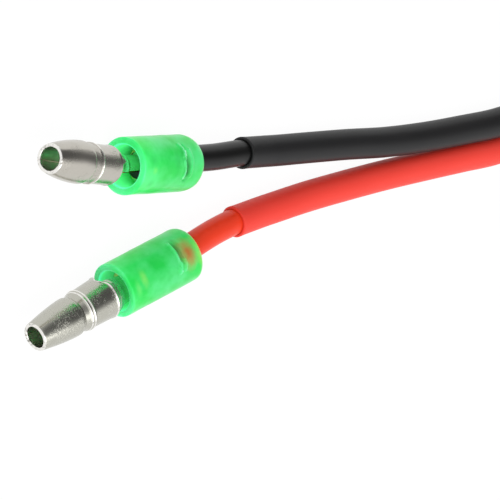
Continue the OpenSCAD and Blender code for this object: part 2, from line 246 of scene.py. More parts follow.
@dataclass(frozen=True)
class SoftGreenPvc(Finish):
    """Dipped soft PVC: milky, slightly clear and glossy, so that what lies inside shows dimly."""

    name: str
    place: Matrix
    marks: tuple[Mark, ...]
    inside_painted_glow: float
    front: float
    slot: str = "green_pvc"
    colour: str = "24d952"
    cloudy: str = "54ea82"
    rough: float = 0.28
    specular: float = 0.3
    clear: float = 0.08
    # Width of the clouds, and the shares of the noise between which they thicken
    cloud: float = 2.2
    cloud_from: float = 0.35
    cloud_full: float = 0.65
    # Width and depth of the orange peel
    peel: float = 0.5
    peel_depth: float = 0.012
    # How far light spreads in the wall, and the shares of it for red, green and blue
    bleed: float = 2.5
    bleed_shares: tuple[float, float, float] = (0.8, 1.0, 0.9)
    # A mark's reach into the wall, how ragged it is, and the shares of its size where it ends and is full
    depth: float = 1.5
    ragged: float = 0.3
    mark_end: float = 1.15
    mark_full: float = 0.05
    # Painted glow: emission in the dye's tint over the whole wall, stronger inside the mouth and on the cut
    # end, standing in for light that passes through the wall
    glow_tint: str = "60ffa0"
    end_glow_tint: str = "60ffc8"
    painted_glow: float = 0.05
    inside_len: float = 3.0
    end_painted_glow: float = 0.12
    end_len: float = 0.45

    def light(self, tree: bpy.types.NodeTree, shader: bpy.types.Node, place: bpy.types.Node) -> None:
        """Lays the painted glow: emission that stands in for light passing through the wall.

        Args:
            tree: The material's tree.
            shader: Its Principled shader.
            place: The node that gives the place on the piece.
        """
        local = add(tree, "ShaderNodeMapping", {
            "Vector": place.outputs["Object"], "Location": self.place.translation * MM,
            "Rotation": self.place.to_euler()}, vector_type="TEXTURE")
        parts = add(tree, "ShaderNodeSeparateXYZ", {0: local.outputs[0]})
        across = add(tree, "ShaderNodeCombineXYZ", {0: parts.outputs[0], 1: parts.outputs[1]})
        radius = add(tree, "ShaderNodeVectorMath", {0: across.outputs[0]}, operation="LENGTH")
        bore = TerminalSleeve.bore_d / 2
        inside = add(tree, "ShaderNodeMapRange", {
            "Value": radius.outputs["Value"], "From Min": (bore + TerminalSleeve.edge_round) * MM,
            "From Max": bore * MM, "To Max": self.inside_painted_glow})
        mouth, end = (
            add(tree, "ShaderNodeMapRange", {
                "Value": parts.outputs[2], "From Min": (self.front - length) * MM,
                "From Max": self.front * MM})
            for length in (self.inside_len, self.end_len))
        glow = add(tree, "ShaderNodeMath", {
            0: inside.outputs[0], 1: mouth.outputs[0], 2: self.painted_glow}, operation="MULTIPLY_ADD")
        strength = add(tree, "ShaderNodeMath", {
            0: end.outputs[0], 1: self.end_painted_glow, 2: glow.outputs[0]}, operation="MULTIPLY_ADD")
        colour = add(tree, "ShaderNodeMix", {
            "Factor": end.outputs[0], 6: linear(self.glow_tint), 7: linear(self.end_glow_tint)}, data_type="RGBA")
        feed(tree, shader, {
            "Emission Color": colour.outputs[2], "Emission Strength": strength.outputs[0]})

    def paint(self, tree: bpy.types.NodeTree, shader: bpy.types.Node) -> None:
        """Clouds the colour, lets the marks show, painted shade in folds and painted glints among them, lays
        the painted glow and gives the surface a faint orange peel.

        Args:
            tree: The material's tree.
            shader: Its Principled shader.
        """
        place = add(tree, "ShaderNodeTexCoord")
        cloud = add(tree, "ShaderNodeTexNoise", {
            "Vector": place.outputs["Object"], "Scale": per_size(self.cloud), "Detail": 3.0})
        peel = add(tree, "ShaderNodeTexNoise", {
            "Vector": place.outputs["Object"], "Scale": per_size(self.peel), "Detail": 1.0})
        milky = add(tree, "ShaderNodeMapRange", {
            "Value": cloud.outputs["Fac"], "From Min": self.cloud_from, "From Max": self.cloud_full})
        colour = add(tree, "ShaderNodeMix", {
            "Factor": milky.outputs[0], 6: linear(self.colour), 7: linear(self.cloudy)}, data_type="RGBA")
        for mark in self.marks:
            turn = self.place @ Matrix.Rotation(math.radians(mark.angle), 4, "Z")
            middle = turn @ Vector((TerminalSleeve.outer_d / 2, 0, mark.station))
            near = add(tree, "ShaderNodeMapping", {
                "Vector": place.outputs["Object"], "Location": middle * MM, "Rotation": turn.to_euler(),
                "Scale": Vector((self.depth, mark.width, mark.length)) * MM}, vector_type="TEXTURE")
            off = add(tree, "ShaderNodeVectorMath", {0: near.outputs[0]}, operation="LENGTH")
            ragged = add(tree, "ShaderNodeMath", {
                0: peel.outputs["Fac"], 1: self.ragged, 2: off.outputs["Value"]}, operation="MULTIPLY_ADD")
            shows = add(tree, "ShaderNodeMapRange", {
                "Value": ragged.outputs[0], "From Min": self.mark_end, "From Max": self.mark_full,
                "To Max": mark.strength}, interpolation_type="SMOOTHSTEP")
            colour = add(tree, "ShaderNodeMix", {
                "Factor": shows.outputs[0], 6: colour.outputs[2], 7: linear(mark.colour)},
                data_type="RGBA")
        bump = add(tree, "ShaderNodeBump", {
            "Height": peel.outputs["Fac"], "Strength": 0.4, "Distance": self.peel_depth * MM})
        self.light(tree, shader, place)
        feed(tree, shader, {
            "Roughness": self.rough, "Specular IOR Level": self.specular,
            "Transmission Weight": self.clear, "Subsurface Weight": 1.0,
            "Subsurface Radius": self.bleed_shares, "Subsurface Scale": self.bleed * MM,
            "Base Color": colour.outputs[2], "Normal": bump.outputs[0]})


@dataclass(frozen=True)
class ExtrudedPvc(Finish):
    """A wire's extruded PVC jacket: smooth and glossy, with faint lines along the draw."""

    name: str
    slot: str
    colour: str
    dull: str
    rough: float
    specular: float = 0.25
    # Width and depth of the lines, and their scale along the draw
    line: float = 0.25
    line_depth: float = 0.006
    stretch: float = 0.02
    mottle: float = 1.2

    def paint(self, tree: bpy.types.NodeTree, shader: bpy.types.Node) -> None:
        """Mottles the jacket and draws its lines along the run.

        Args:
            tree: The material's tree.
            shader: Its Principled shader.
        """
        lay = add(tree, "ShaderNodeUVMap", uv_map=LAY)
        drawn = add(tree, "ShaderNodeMapping", {
            "Vector": lay.outputs[0], "Scale": (self.stretch, 1.0, 1.0)})
        lines = add(tree, "ShaderNodeTexNoise", {
            "Vector": drawn.outputs[0], "Scale": per_size(self.line), "Detail": 2.0})
        mottle = add(tree, "ShaderNodeTexNoise", {
            "Vector": lay.outputs[0], "Scale": per_size(self.mottle), "Detail": 3.0})
        colour = add(tree, "ShaderNodeMix", {
            "Factor": mottle.outputs["Fac"], 6: linear(self.colour), 7: linear(self.dull)},
            data_type="RGBA")
        bump = add(tree, "ShaderNodeBump", {
            "Height": lines.outputs["Fac"], "Strength": 0.3, "Distance": self.line_depth * MM})
        feed(tree, shader, {
            "Roughness": self.rough, "Specular IOR Level": self.specular,
            "Base Color": colour.outputs[2], "Normal": bump.outputs[0]})


@dataclass(frozen=True)
class ShrunkTube(Finish):
    """Shrunk polyolefin tube: satin, faintly uneven where it drew down on the wire."""

    name: str
    slot: str
    colour: str
    dull: str
    rough: float
    # How far the roughness goes below and above its usual value
    smoother: float = 0.05
    rougher: float = 0.1
    specular: float = 0.25
    # Width and depth of the ripples, their scale along the tube, and the grain's width and share of height
    ripple: float = 1.4
    ripple_depth: float = 0.02
    stretch: float = 0.3
    grain: float = 0.14
    grain_share: float = 0.15

    def paint(self, tree: bpy.types.NodeTree, shader: bpy.types.Node) -> None:
        """Ripples the satin surface and mottles its colour and gloss.

        Args:
            tree: The material's tree.
            shader: Its Principled shader.
        """
        lay = add(tree, "ShaderNodeUVMap", uv_map=LAY)
        drawn = add(tree, "ShaderNodeMapping", {
            "Vector": lay.outputs[0], "Scale": (self.stretch, 1.0, 1.0)})
        ripple = add(tree, "ShaderNodeTexNoise", {
            "Vector": drawn.outputs[0], "Scale": per_size(self.ripple), "Detail": 2.0})
        grain = add(tree, "ShaderNodeTexNoise", {
            "Vector": lay.outputs[0], "Scale": per_size(self.grain), "Detail": 2.0})
        height = add(tree, "ShaderNodeMath", {
            0: grain.outputs["Fac"], 1: self.grain_share, 2: ripple.outputs["Fac"]},
            operation="MULTIPLY_ADD")
        colour = add(tree, "ShaderNodeMix", {
            "Factor": ripple.outputs["Fac"], 6: linear(self.colour), 7: linear(self.dull)},
            data_type="RGBA")
        rough = add(tree, "ShaderNodeMapRange", {
            "Value": grain.outputs["Fac"], "To Min": self.rough - self.smoother,
            "To Max": self.rough + self.rougher})
        bump = add(tree, "ShaderNodeBump", {
            "Height": height.outputs[0], "Strength": 0.5, "Distance": self.ripple_depth * MM})
        feed(tree, shader, {
            "Specular IOR Level": self.specular, "Base Color": colour.outputs[2],
            "Roughness": rough.outputs[0], "Normal": bump.outputs[0]})


@dataclass(frozen=True)
class Metal(Finish):
    """A metal of one colour that dulls in patches, with fine lines left by its making."""

    name: str
    slot: str
    colour: str
    dull: str
    # Roughness of the clear metal and of its dull patches
    shine: float
    dullness: float
    # Widths of the patches and of the lines, and how deep the lines are
    patch: float
    line: float
    line_depth: float = 0.003
    # Shares of the noise between which the metal dulls
    dull_from: float = 0.3
    dull_full: float = 0.7

    def paint(self, tree: bpy.types.NodeTree, shader: bpy.types.Node) -> None:
        """Dulls the metal in patches and scores it with fine lines.

        Args:
            tree: The material's tree.
            shader: Its Principled shader.
        """
        place = add(tree, "ShaderNodeTexCoord")
        patch = add(tree, "ShaderNodeTexNoise", {
            "Vector": place.outputs["Object"], "Scale": per_size(self.patch), "Detail": 3.0})
        lines = add(tree, "ShaderNodeTexNoise", {
            "Vector": place.outputs["Object"], "Scale": per_size(self.line), "Detail": 2.0})
        colour = add(tree, "ShaderNodeMix", {
            "Factor": patch.outputs["Fac"], 6: linear(self.colour), 7: linear(self.dull)},
            data_type="RGBA")
        rough = add(tree, "ShaderNodeMapRange", {
            "Value": patch.outputs["Fac"], "From Min": self.dull_from, "From Max": self.dull_full,
            "To Min": self.shine, "To Max": self.dullness})
        bump = add(tree, "ShaderNodeBump", {
            "Height": lines.outputs["Fac"], "Strength": 0.3, "Distance": self.line_depth * MM})
        feed(tree, shader, {
            "Metallic": 1.0, "Base Color": colour.outputs[2], "Roughness": rough.outputs[0],
            "Normal": bump.outputs[0]})


@dataclass(frozen=True)
class Moulded(Finish):
    """A moulded polymer: matt, with the fine grain of its mould."""

    name: str
    slot: str
    colour: str
    dusty: str
    rough: float
    grain: float
    grain_depth: float

    def paint(self, tree: bpy.types.NodeTree, shader: bpy.types.Node) -> None:
        """Grains the surface and dusts its colour.

        Args:
            tree: The material's tree.
            shader: Its Principled shader.
        """
        place = add(tree, "ShaderNodeTexCoord")
        grain = add(tree, "ShaderNodeTexNoise", {
            "Vector": place.outputs["Object"], "Scale": per_size(self.grain), "Detail": 3.0})
        colour = add(tree, "ShaderNodeMix", {
            "Factor": grain.outputs["Fac"], 6: linear(self.colour), 7: linear(self.dusty)},
            data_type="RGBA")
        bump = add(tree, "ShaderNodeBump", {
            "Height": grain.outputs["Fac"], "Strength": 0.6, "Distance": self.grain_depth * MM})
        feed(tree, shader, {
            "Roughness": self.rough, "Base Color": colour.outputs[2], "Normal": bump.outputs[0]})


TIN = TinPlate(
    "bright_tin_plate", "c1bdb4", "a8a49b", scuff_depth=0.006, scuff_from=0.48, scuff=0.14)
SCUFFED_TIN = TinPlate(
    "scuffed_tin_plate", "bcbbb1", "c2c1b7", scuff_depth=0.012, scuff_from=0.4, scuff=0.13)
# Burnished tin on the ridges, the flare and the rim: its colour, brighter than the plate's, paints the
# highlight lines there; its dark patches are scuffs
BURNISHED_HIGHLIGHT_TIN = TinPlate(
    "burnished_highlight_tin_plate", "eeece7", "8f8d86", scuff_depth=0.012, scuff_from=0.44, scuff=0.24)
CUT_EDGE = CutBrass()
# The sheet's inside face: rougher than the outside, and its colour, brighter than the outside plate's, is a
# painted light level for the shaded bore
DULL_INSIDE_TIN_PAINTED_LIGHT = Metal(
    "dull_tin_inside_painted_light", "tin_plate", "d6d3ca", "bab7ad", shine=0.3, dullness=0.45, patch=0.6, line=0.15)
COPPER = Metal(
    "bare_copper", "copper", "c98a63", "a8643e", shine=0.25, dullness=0.45, patch=0.8, line=0.1)
SOLDER = Metal(
    "smooth_solder", "solder", "b4b6b8", "96989b", shine=0.25, dullness=0.4, patch=0.9, line=0.2)
NICKEL = Metal(
    "nickel_plate", "nickel_plate", "c4c2ba", "b0aea6", shine=0.16, dullness=0.28, patch=2.0, line=0.12)
BRASS = Metal(
    "stamped_brass", "brass_strip", "d8bd78", "b8985a", shine=0.25, dullness=0.4, patch=1.0, line=0.1)
RUBBER = Moulded(
    "nitrile_rubber", "gasket_rubber", "1d1d1d", "2b2a29", rough=0.65, grain=0.2, grain_depth=0.02)
NYLON = Moulded(
    "moulded_nylon", "moulded_plastic", "232327", "2e2e32", rough=0.45, grain=0.25, grain_depth=0.012)


class LeadColour(Enum):
    """The two leads, with the finishes of their jacket and tube."""

    BLACK = "black"
    RED = "red"

    def jacket(self) -> Finish:
        """Gives the finish of the wire's jacket.

        Returns:
            The finish.
        """
        if self is LeadColour.BLACK:
            return ExtrudedPvc("black_pvc_jacket", "black_pvc", "0a0a0a", "0e0e0e", rough=0.32)
        return ExtrudedPvc("red_pvc_jacket", "red_pvc", "f03d1d", "e8381a", rough=0.36)

    def tube(self) -> Finish:
        """Gives the finish of the shrunk tube.

        Returns:
            The finish.
        """
        if self is LeadColour.BLACK:
            return ShrunkTube("black_polyolefin_tube", "black_tube", "1b1b1c", "202021", rough=0.42)
        return ShrunkTube("red_polyolefin_tube", "red_tube", "f04134", "ea3d30", rough=0.45)


class Shape:
    """A closed mesh that is put together from rows of points in millimetres."""

    def __init__(self) -> None:
        """Starts with nothing."""
        self.points: list[Vector] = []
        self.faces: list[tuple[int, ...]] = []
        self.lays: list[tuple[float, float]] = []
        self.kinds: list[int] = []

    def face(self, corners: Sequence[int], lays: Sequence[tuple[float, float]], kind: int = 0) -> None:
        """Adds one face.

        Args:
            corners: Numbers of its points.
            lays: How far along and around the piece each corner lies.
            kind: Which of the piece's finishes it wears.
        """
        self.faces.append(tuple(corners))
        self.lays.extend(lays)
        self.kinds.append(kind)

    def loft(self, rows: Sequence[Sequence[Vector]], along: Sequence[float], around: Sequence[float],
             loop: bool = False, kinds: Sequence[int] = ()) -> list[int]:
        """Adds the faces between neighbouring rows, each of which is a ring.

        Args:
            rows: Rows of points, all as long as each other.
            along: How far along the piece each row lies.
            around: How far around the piece each column lies, with one more value for the way round.
            loop: Whether the last row joins the first.
            kinds: Which of the piece's finishes each column wears, where it isn't the first.

        Returns:
            The number of each row's first point.
        """
        starts = []
        for row in rows:
            starts.append(len(self.points))
            self.points.extend(row)
        count = len(rows[0])
        pairs = [(i, i + 1) for i in range(len(rows) - 1)]
        if loop:
            pairs.append((len(rows) - 1, 0))
        for i, j in pairs:
            for k in range(count):
                n = (k + 1) % count
                self.face(
                    (starts[i] + k, starts[i] + n, starts[j] + n, starts[j] + k),
                    ((along[i], around[k]), (along[i], around[k + 1]),
                     (along[j], around[k + 1]), (along[j], around[k])),
                    kinds[k] if kinds else 0)
        return starts

    def cap(self, first: int, count: int) -> None:
        """Closes a ring of points with one face."""
        self.face(range(first, first + count), [(0.0, 0.0)] * count)

    def ladder(self, first: int, count: int, kind: int) -> None:
        """Closes a long flat loop of points with faces between its two sides.

        Args:
            first: Number of the loop's first point.
            count: How many points it has.
            kind: Which of the piece's finishes the faces wear.
        """
        for i in range(count // 2 - 1):
            corners = (first + i, first + i + 1, first + count - 2 - i, first + count - 1 - i)
            self.face(corners, [(0.0, 0.0)] * len(corners), kind)

    def piece(self, name: str, finishes: Sequence[Finish], nodes: Iterable[str]) -> bpy.types.Object:
        """Makes the object, dresses it and lets it ride on the part.

        Args:
            name: The piece's name.
            finishes: What its kinds of faces wear.
            nodes: The solids that it stands for.

        Returns:
            The object.
        """
        mesh = bpy.data.meshes.new(name)
        mesh.from_pydata([p * MM for p in self.points], [], self.faces)
        lay = mesh.uv_layers.new(name=LAY)
        for corner, (u, v) in zip(lay.data, self.lays):
            corner.uv = (u * MM, v * MM)
        mesh.polygons.foreach_set("material_index", self.kinds)
        for finish in finishes:
            mesh.materials.append(finish.material())
        shell = bmesh.new()
        shell.from_mesh(mesh)
        bmesh.ops.recalc_face_normals(shell, faces=shell.faces)
        shell.to_mesh(mesh)
        shell.free()
        mesh.shade_smooth()
        mesh.set_sharp_from_angle(angle=math.radians(SHARP_ANGLE))
        made = bpy.data.objects.new(name, mesh)
        bpy.context.scene.collection.objects.link(made)
        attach(made, BODY)
        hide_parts(*nodes)
        LOG.info("%s: %d faces", name, len(self.faces))
        return made


def dress(node: str, finish: Finish) -> None:
    """Gives a solid that is shown as it is its finish.

    Args:
        node: The solid's name.
        finish: What it wears.
    """
    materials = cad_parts[node].data.materials
    materials.clear()
    materials.append(finish.material())
    LOG.info("%s: %s", node, finish.name)


def steps(start: float, end: float, count: int) -> list[float]:
    """Gives evenly spaced values from start up to, and not including, end."""
    return [start + (end - start) * i / count for i in range(count)]


def girth(radius: float, sides: int) -> list[float]:
    """Gives how far around a ring each of its points lies, and last the whole way round."""
    return [radius * a for a in (*steps(0, math.tau, sides), math.tau)]


def eased(knots: Knots, at: float) -> float:
    """Reads a smooth curve through knots, level at each of them.

    Args:
        knots: Places and values, in order.
        at: The place to read.

    Returns:
        The value there.
    """
    if at <= knots[0][0]:
        return knots[0][1]
    for (a, va), (b, vb) in zip(knots, knots[1:]):
        if at <= b:
            t = (at - a) / (b - a)
            return va + (vb - va) * t * t * (3 - 2 * t)
    return knots[-1][1]


def direction(yaw: float, pitch: float) -> Vector:
    """Gives the unit vector that is turned and raised by angles in degrees.

    Args:
        yaw: Turn about the vertical.
        pitch: Rise above the surface.

    Returns:
        The vector.
    """
    turn, rise = math.radians(yaw), math.radians(pitch)
    return Vector((math.cos(rise) * math.cos(turn), math.cos(rise) * math.sin(turn), math.sin(rise)))


def laid(origin: Vector, yaw: float, pitch: float, roll: float) -> Matrix:
    """Gives the place of what is drawn along +Z, from angles in degrees.

    Args:
        origin: Where its zero lies.
        yaw: Turn about the vertical.
        pitch: Rise above the surface.
        roll: Turn about its own axis.

    Returns:
        The place.
    """
    return (Matrix.Translation(origin) @ Matrix.Rotation(math.radians(yaw), 4, "Z")
            @ Matrix.Rotation(math.radians(90 - pitch), 4, "Y")
            @ Matrix.Rotation(math.radians(180 + roll), 4, "Z"))


class Sway:
    """A small change of a turned piece's form from place to place, which is none by itself."""

    def shift(self, r: float, z: float, angle: float) -> float:
        """Gives the change of radius at a radius, station and angle."""
        return 0.0

    def centre(self, r: float, z: float) -> Vector:
        """Gives how far the middle of a ring lies off the axis."""
        return Vector()

    def lean(self, z: float, angle: float) -> float:
        """Gives how far a ring reaches forward at a station and angle."""
        return 0.0


def turned(profile: Knots, place: Matrix, sides: int, sway: Sway = Sway()) -> Shape:
    """Turns a closed profile around an axis.

    Args:
        profile: Radius and station of each point, around the section.
        place: Where the axis lies.
        sides: Columns around the axis.
        sway: What changes the form from place to place.

    Returns:
        The shape.
    """
    shape = Shape()
    rows = []
    for r, z in profile:
        middle = sway.centre(r, z)
        row = []
        for a in steps(0, math.tau, sides):
            q = r + sway.shift(r, z, a)
            row.append(place @ (middle + Vector((q * math.cos(a), q * math.sin(a), z + sway.lean(z, a)))))
        rows.append(row)
    along = [0.0]
    for (ra, za), (rb, zb) in zip(profile, profile[1:]):
        along.append(along[-1] + math.hypot(rb - ra, zb - za))
    shape.loft(rows, along, girth(max(r for r, _ in profile), sides), loop=True)
    return shape


def rounded(corners: Sequence[Point], count: int) -> list[tuple[float, float]]:
    """Rounds the corners of a closed profile.

    Args:
        corners: Radius, station and rounding of each corner, around the section.
        count: Steps around each rounded corner.

    Returns:
        The profile's points.
    """
    points = []
    for i, (r, z, size) in enumerate(corners):
        if size == 0:
            points.append((r, z))
            continue
        here = Vector((r, z))
        before = (Vector(corners[i - 1][:2]) - here).normalized()
        after = (Vector(corners[(i + 1) % len(corners)][:2]) - here).normalized()
        for k in range(count + 1):
            t = k / count
            a = here + before * size * (1 - t) ** 2
            points.append(tuple(a + after * size * t * t))
    return points


@dataclass(frozen=True)
class Line:
    """A smooth line through points in millimetres."""

    points: tuple[Vector, ...]

    @staticmethod
    def through(points: Iterable[Sequence[float]], pitch: float, lowest: float) -> "Line":
        """Draws a smooth curve through points.

        Args:
            points: The points that it passes.
            pitch: Distance between the points of the new line.
            lowest: The least height of the new line.

        Returns:
            The line.
        """
        given = [Vector(p) for p in points]
        given = [given[0] * 2 - given[1], *given, given[-1] * 2 - given[-2]]
        drawn = []
        for p, a, b, q in zip(given, given[1:], given[2:], given[3:]):
            before, span, after = (a - p).length, (b - a).length, (q - b).length
            leave = ((a - p) / before - (b - p) / (before + span) + (b - a) / span) * span
            arrive = ((b - a) / span - (q - a) / (span + after) + (q - b) / after) * span
            for t in steps(0, 1, max(1, round(span / pitch))):
                drawn.append(a * (1 + 2 * t) * (1 - t) ** 2 + leave * t * (1 - t) ** 2
                             + b * t * t * (3 - 2 * t) + arrive * t * t * (t - 1))
        return Line(tuple(Vector((p.x, p.y, max(p.z, lowest))) for p in (*drawn, given[-2])))

    def with_start(self, far: Sequence[float]) -> "Line":
        """Gives the line with more points within its first step.

        Args:
            far: Distances of the new points from the line's start.

        Returns:
            The new line.
        """
        first, second = self.points[:2]
        heading = (second - first).normalized()
        return Line((first, *(first + heading * d for d in far), *self.points[1:]))

    def distances(self) -> list[float]:
        """Measures along the line.

        Returns:
            How far along the line each point lies.
        """
        far = [0.0]
        for a, b in zip(self.points, self.points[1:]):
            far.append(far[-1] + (b - a).length)
        return far

    def rings(self, radii: Sequence[float], sides: int) -> list[list[Vector]]:
        """Gives a ring of points around each point of the line, from its lowest side round.

        Args:
            radii: Radius of each ring.
            sides: Points of each ring.

        Returns:
            The rings.
        """
        last = len(self.points) - 1
        made = []
        for i, (p, r) in enumerate(zip(self.points, radii)):
            heading = (self.points[min(i + 1, last)] - self.points[max(i - 1, 0)]).normalized()
            across = Vector((0, 0, 1)).cross(heading).normalized()
            upward = heading.cross(across)
            made.append([p + r * (math.sin(a) * across - math.cos(a) * upward)
                         for a in steps(0, math.tau, sides)])
        return made

    def sweep(self, shape: Shape, radius: float, sides: int) -> None:
        """Adds a solid round rod along the line.

        Args:
            shape: What takes the rod.
            radius: The rod's radius.
            sides: Columns around it.
        """
        rings = self.rings([radius] * len(self.points), sides)
        starts = shape.loft(rings, self.distances(), girth(radius, sides))
        shape.cap(starts[0], sides)
        shape.cap(starts[-1], sides)


@dataclass(frozen=True)
class Forming:
    """How one bullet was rolled, and bent down behind its barrel to its crimps."""

    # What the sheet's outside wears
    plate: TinPlate
    # Outer diameters of the barrel, the groove and the head, and how full the head is
    barrel_d: float
    groove_d: float
    head_d: float
    head_fullness: float
    # How far the barrel springs open at its rear and closes at its front
    spring: float
    # Stations at which the barrel's front begins to round and the groove is deepest, and its fullness
    round_from: float
    groove_at: float
    fullness: float
    # Height of the second ridge in front of the bead
    ridge_h: float
    # Station at which the barrel bends in, how far it steps in there, and its edge's flare
    bend: float
    step: float
    flare: float
    flare_w: float
    # Stations of the strand crimp's rear and front edge, how far it wraps around the strands to each
    # side in degrees, and the sheet's radius in front of it
    rear: float
    front: float
    wrap: float
    bell: float
    # Degrees by which the neck lies off the strip's middle, and how far it reaches to each side
    turn: float
    reach: float
    # Degrees off the strip's middle at which a tongue of the barrel stays out, and its length
    tongue_at: float = 0.0
    tongue_len: float = 0.0
    # Depth of the relief notches that the barrel's rear edge has beside the neck
    relief: float = 0.0


@dataclass(frozen=True)
class Crease:
    """A fold in a sleeve's outside, through stations in millimetres and angles in degrees."""

    path: tuple[tuple[float, float], ...]
    height: float
    width: float

    def lift(self, r: float, z: float, angle: float) -> float:
        """Gives how far the fold lifts the surface.

        Args:
            r: Radius of the surface.
            z: Station of the place.
            angle: Its angle around the axis.

        Returns:
            The rise, which is negative in a furrow.
        """
        here = Vector((z, r * ((angle + math.pi) % math.tau - math.pi)))
        knots = [Vector((station, r * math.radians(turn))) for station, turn in self.path]
        near = math.inf
        for a, b in zip(knots, knots[1:]):
            t = min(1.0, max(0.0, (here - a).dot(b - a) / (b - a).length_squared))
            near = min(near, (here - a.lerp(b, t)).length)
        return self.height * math.exp(-(near / self.width) ** 2)


@dataclass
class LeadEnd:
    """Where one lead's end lies: its sleeve's mouth, how it is turned and how it was pulled."""

    colour: LeadColour
    # Middle of the sleeve's mouth, and the turn and rise of the sleeve and of the bullet in degrees
    mouth: Point
    yaw: float
    pitch: float
    bullet_yaw: float
    bullet_pitch: float
    # Degrees by which the terminal is rolled, and how far it was pulled out of the mouth
    roll: float
    pull: float
    # How far off the sleeve's axis the wire leaves it, and the side of the socket that it is soldered to
    exit: Point
    side: int
    forming: Forming
    # Length of the sleeve's round rear, how far its front passes the mouth, and by how much it slants
    rear_len: float
    front_len: float
    slant: float
    # Painted glow on the wall inside the mouth, standing in for light that passes through the wall
    inside_painted_glow: float
    creases: tuple[Crease, ...]
    marks: tuple[Mark, ...]

    def axis(self) -> Vector:
        """Gives the direction in which the sleeve's mouth looks."""
        return direction(self.yaw, self.pitch)

    def neck(self) -> Vector:
        """Gives the point at which the bullet joins its crimps."""
        return Vector(self.mouth) + self.pull * self.axis()

    def sleeve_frame(self) -> Matrix:
        """Gives the place of the sleeve."""
        return laid(Vector(self.mouth), self.yaw, self.pitch, 0)

    def crimp_frame(self) -> Matrix:
        """Gives the place of the crimps."""
        return laid(self.neck(), self.yaw, self.pitch, self.roll)

    def bullet_frame(self) -> Matrix:
        """Gives the place of the bullet, which leans a little against its crimps."""
        return laid(self.neck(), self.bullet_yaw, self.bullet_pitch, self.roll)

    def node(self, what: str) -> str:
        """Gives the name of this lead's own piece."""
        return f"{self.colour.value}_{what}"


class SheetFace(IntEnum):
    """What the faces of a terminal's sheet wear, in the order of its finishes."""

    OUTSIDE = 0
    CUT = 1
    INSIDE = 2
    BURNISHED_HIGHLIGHT = 3


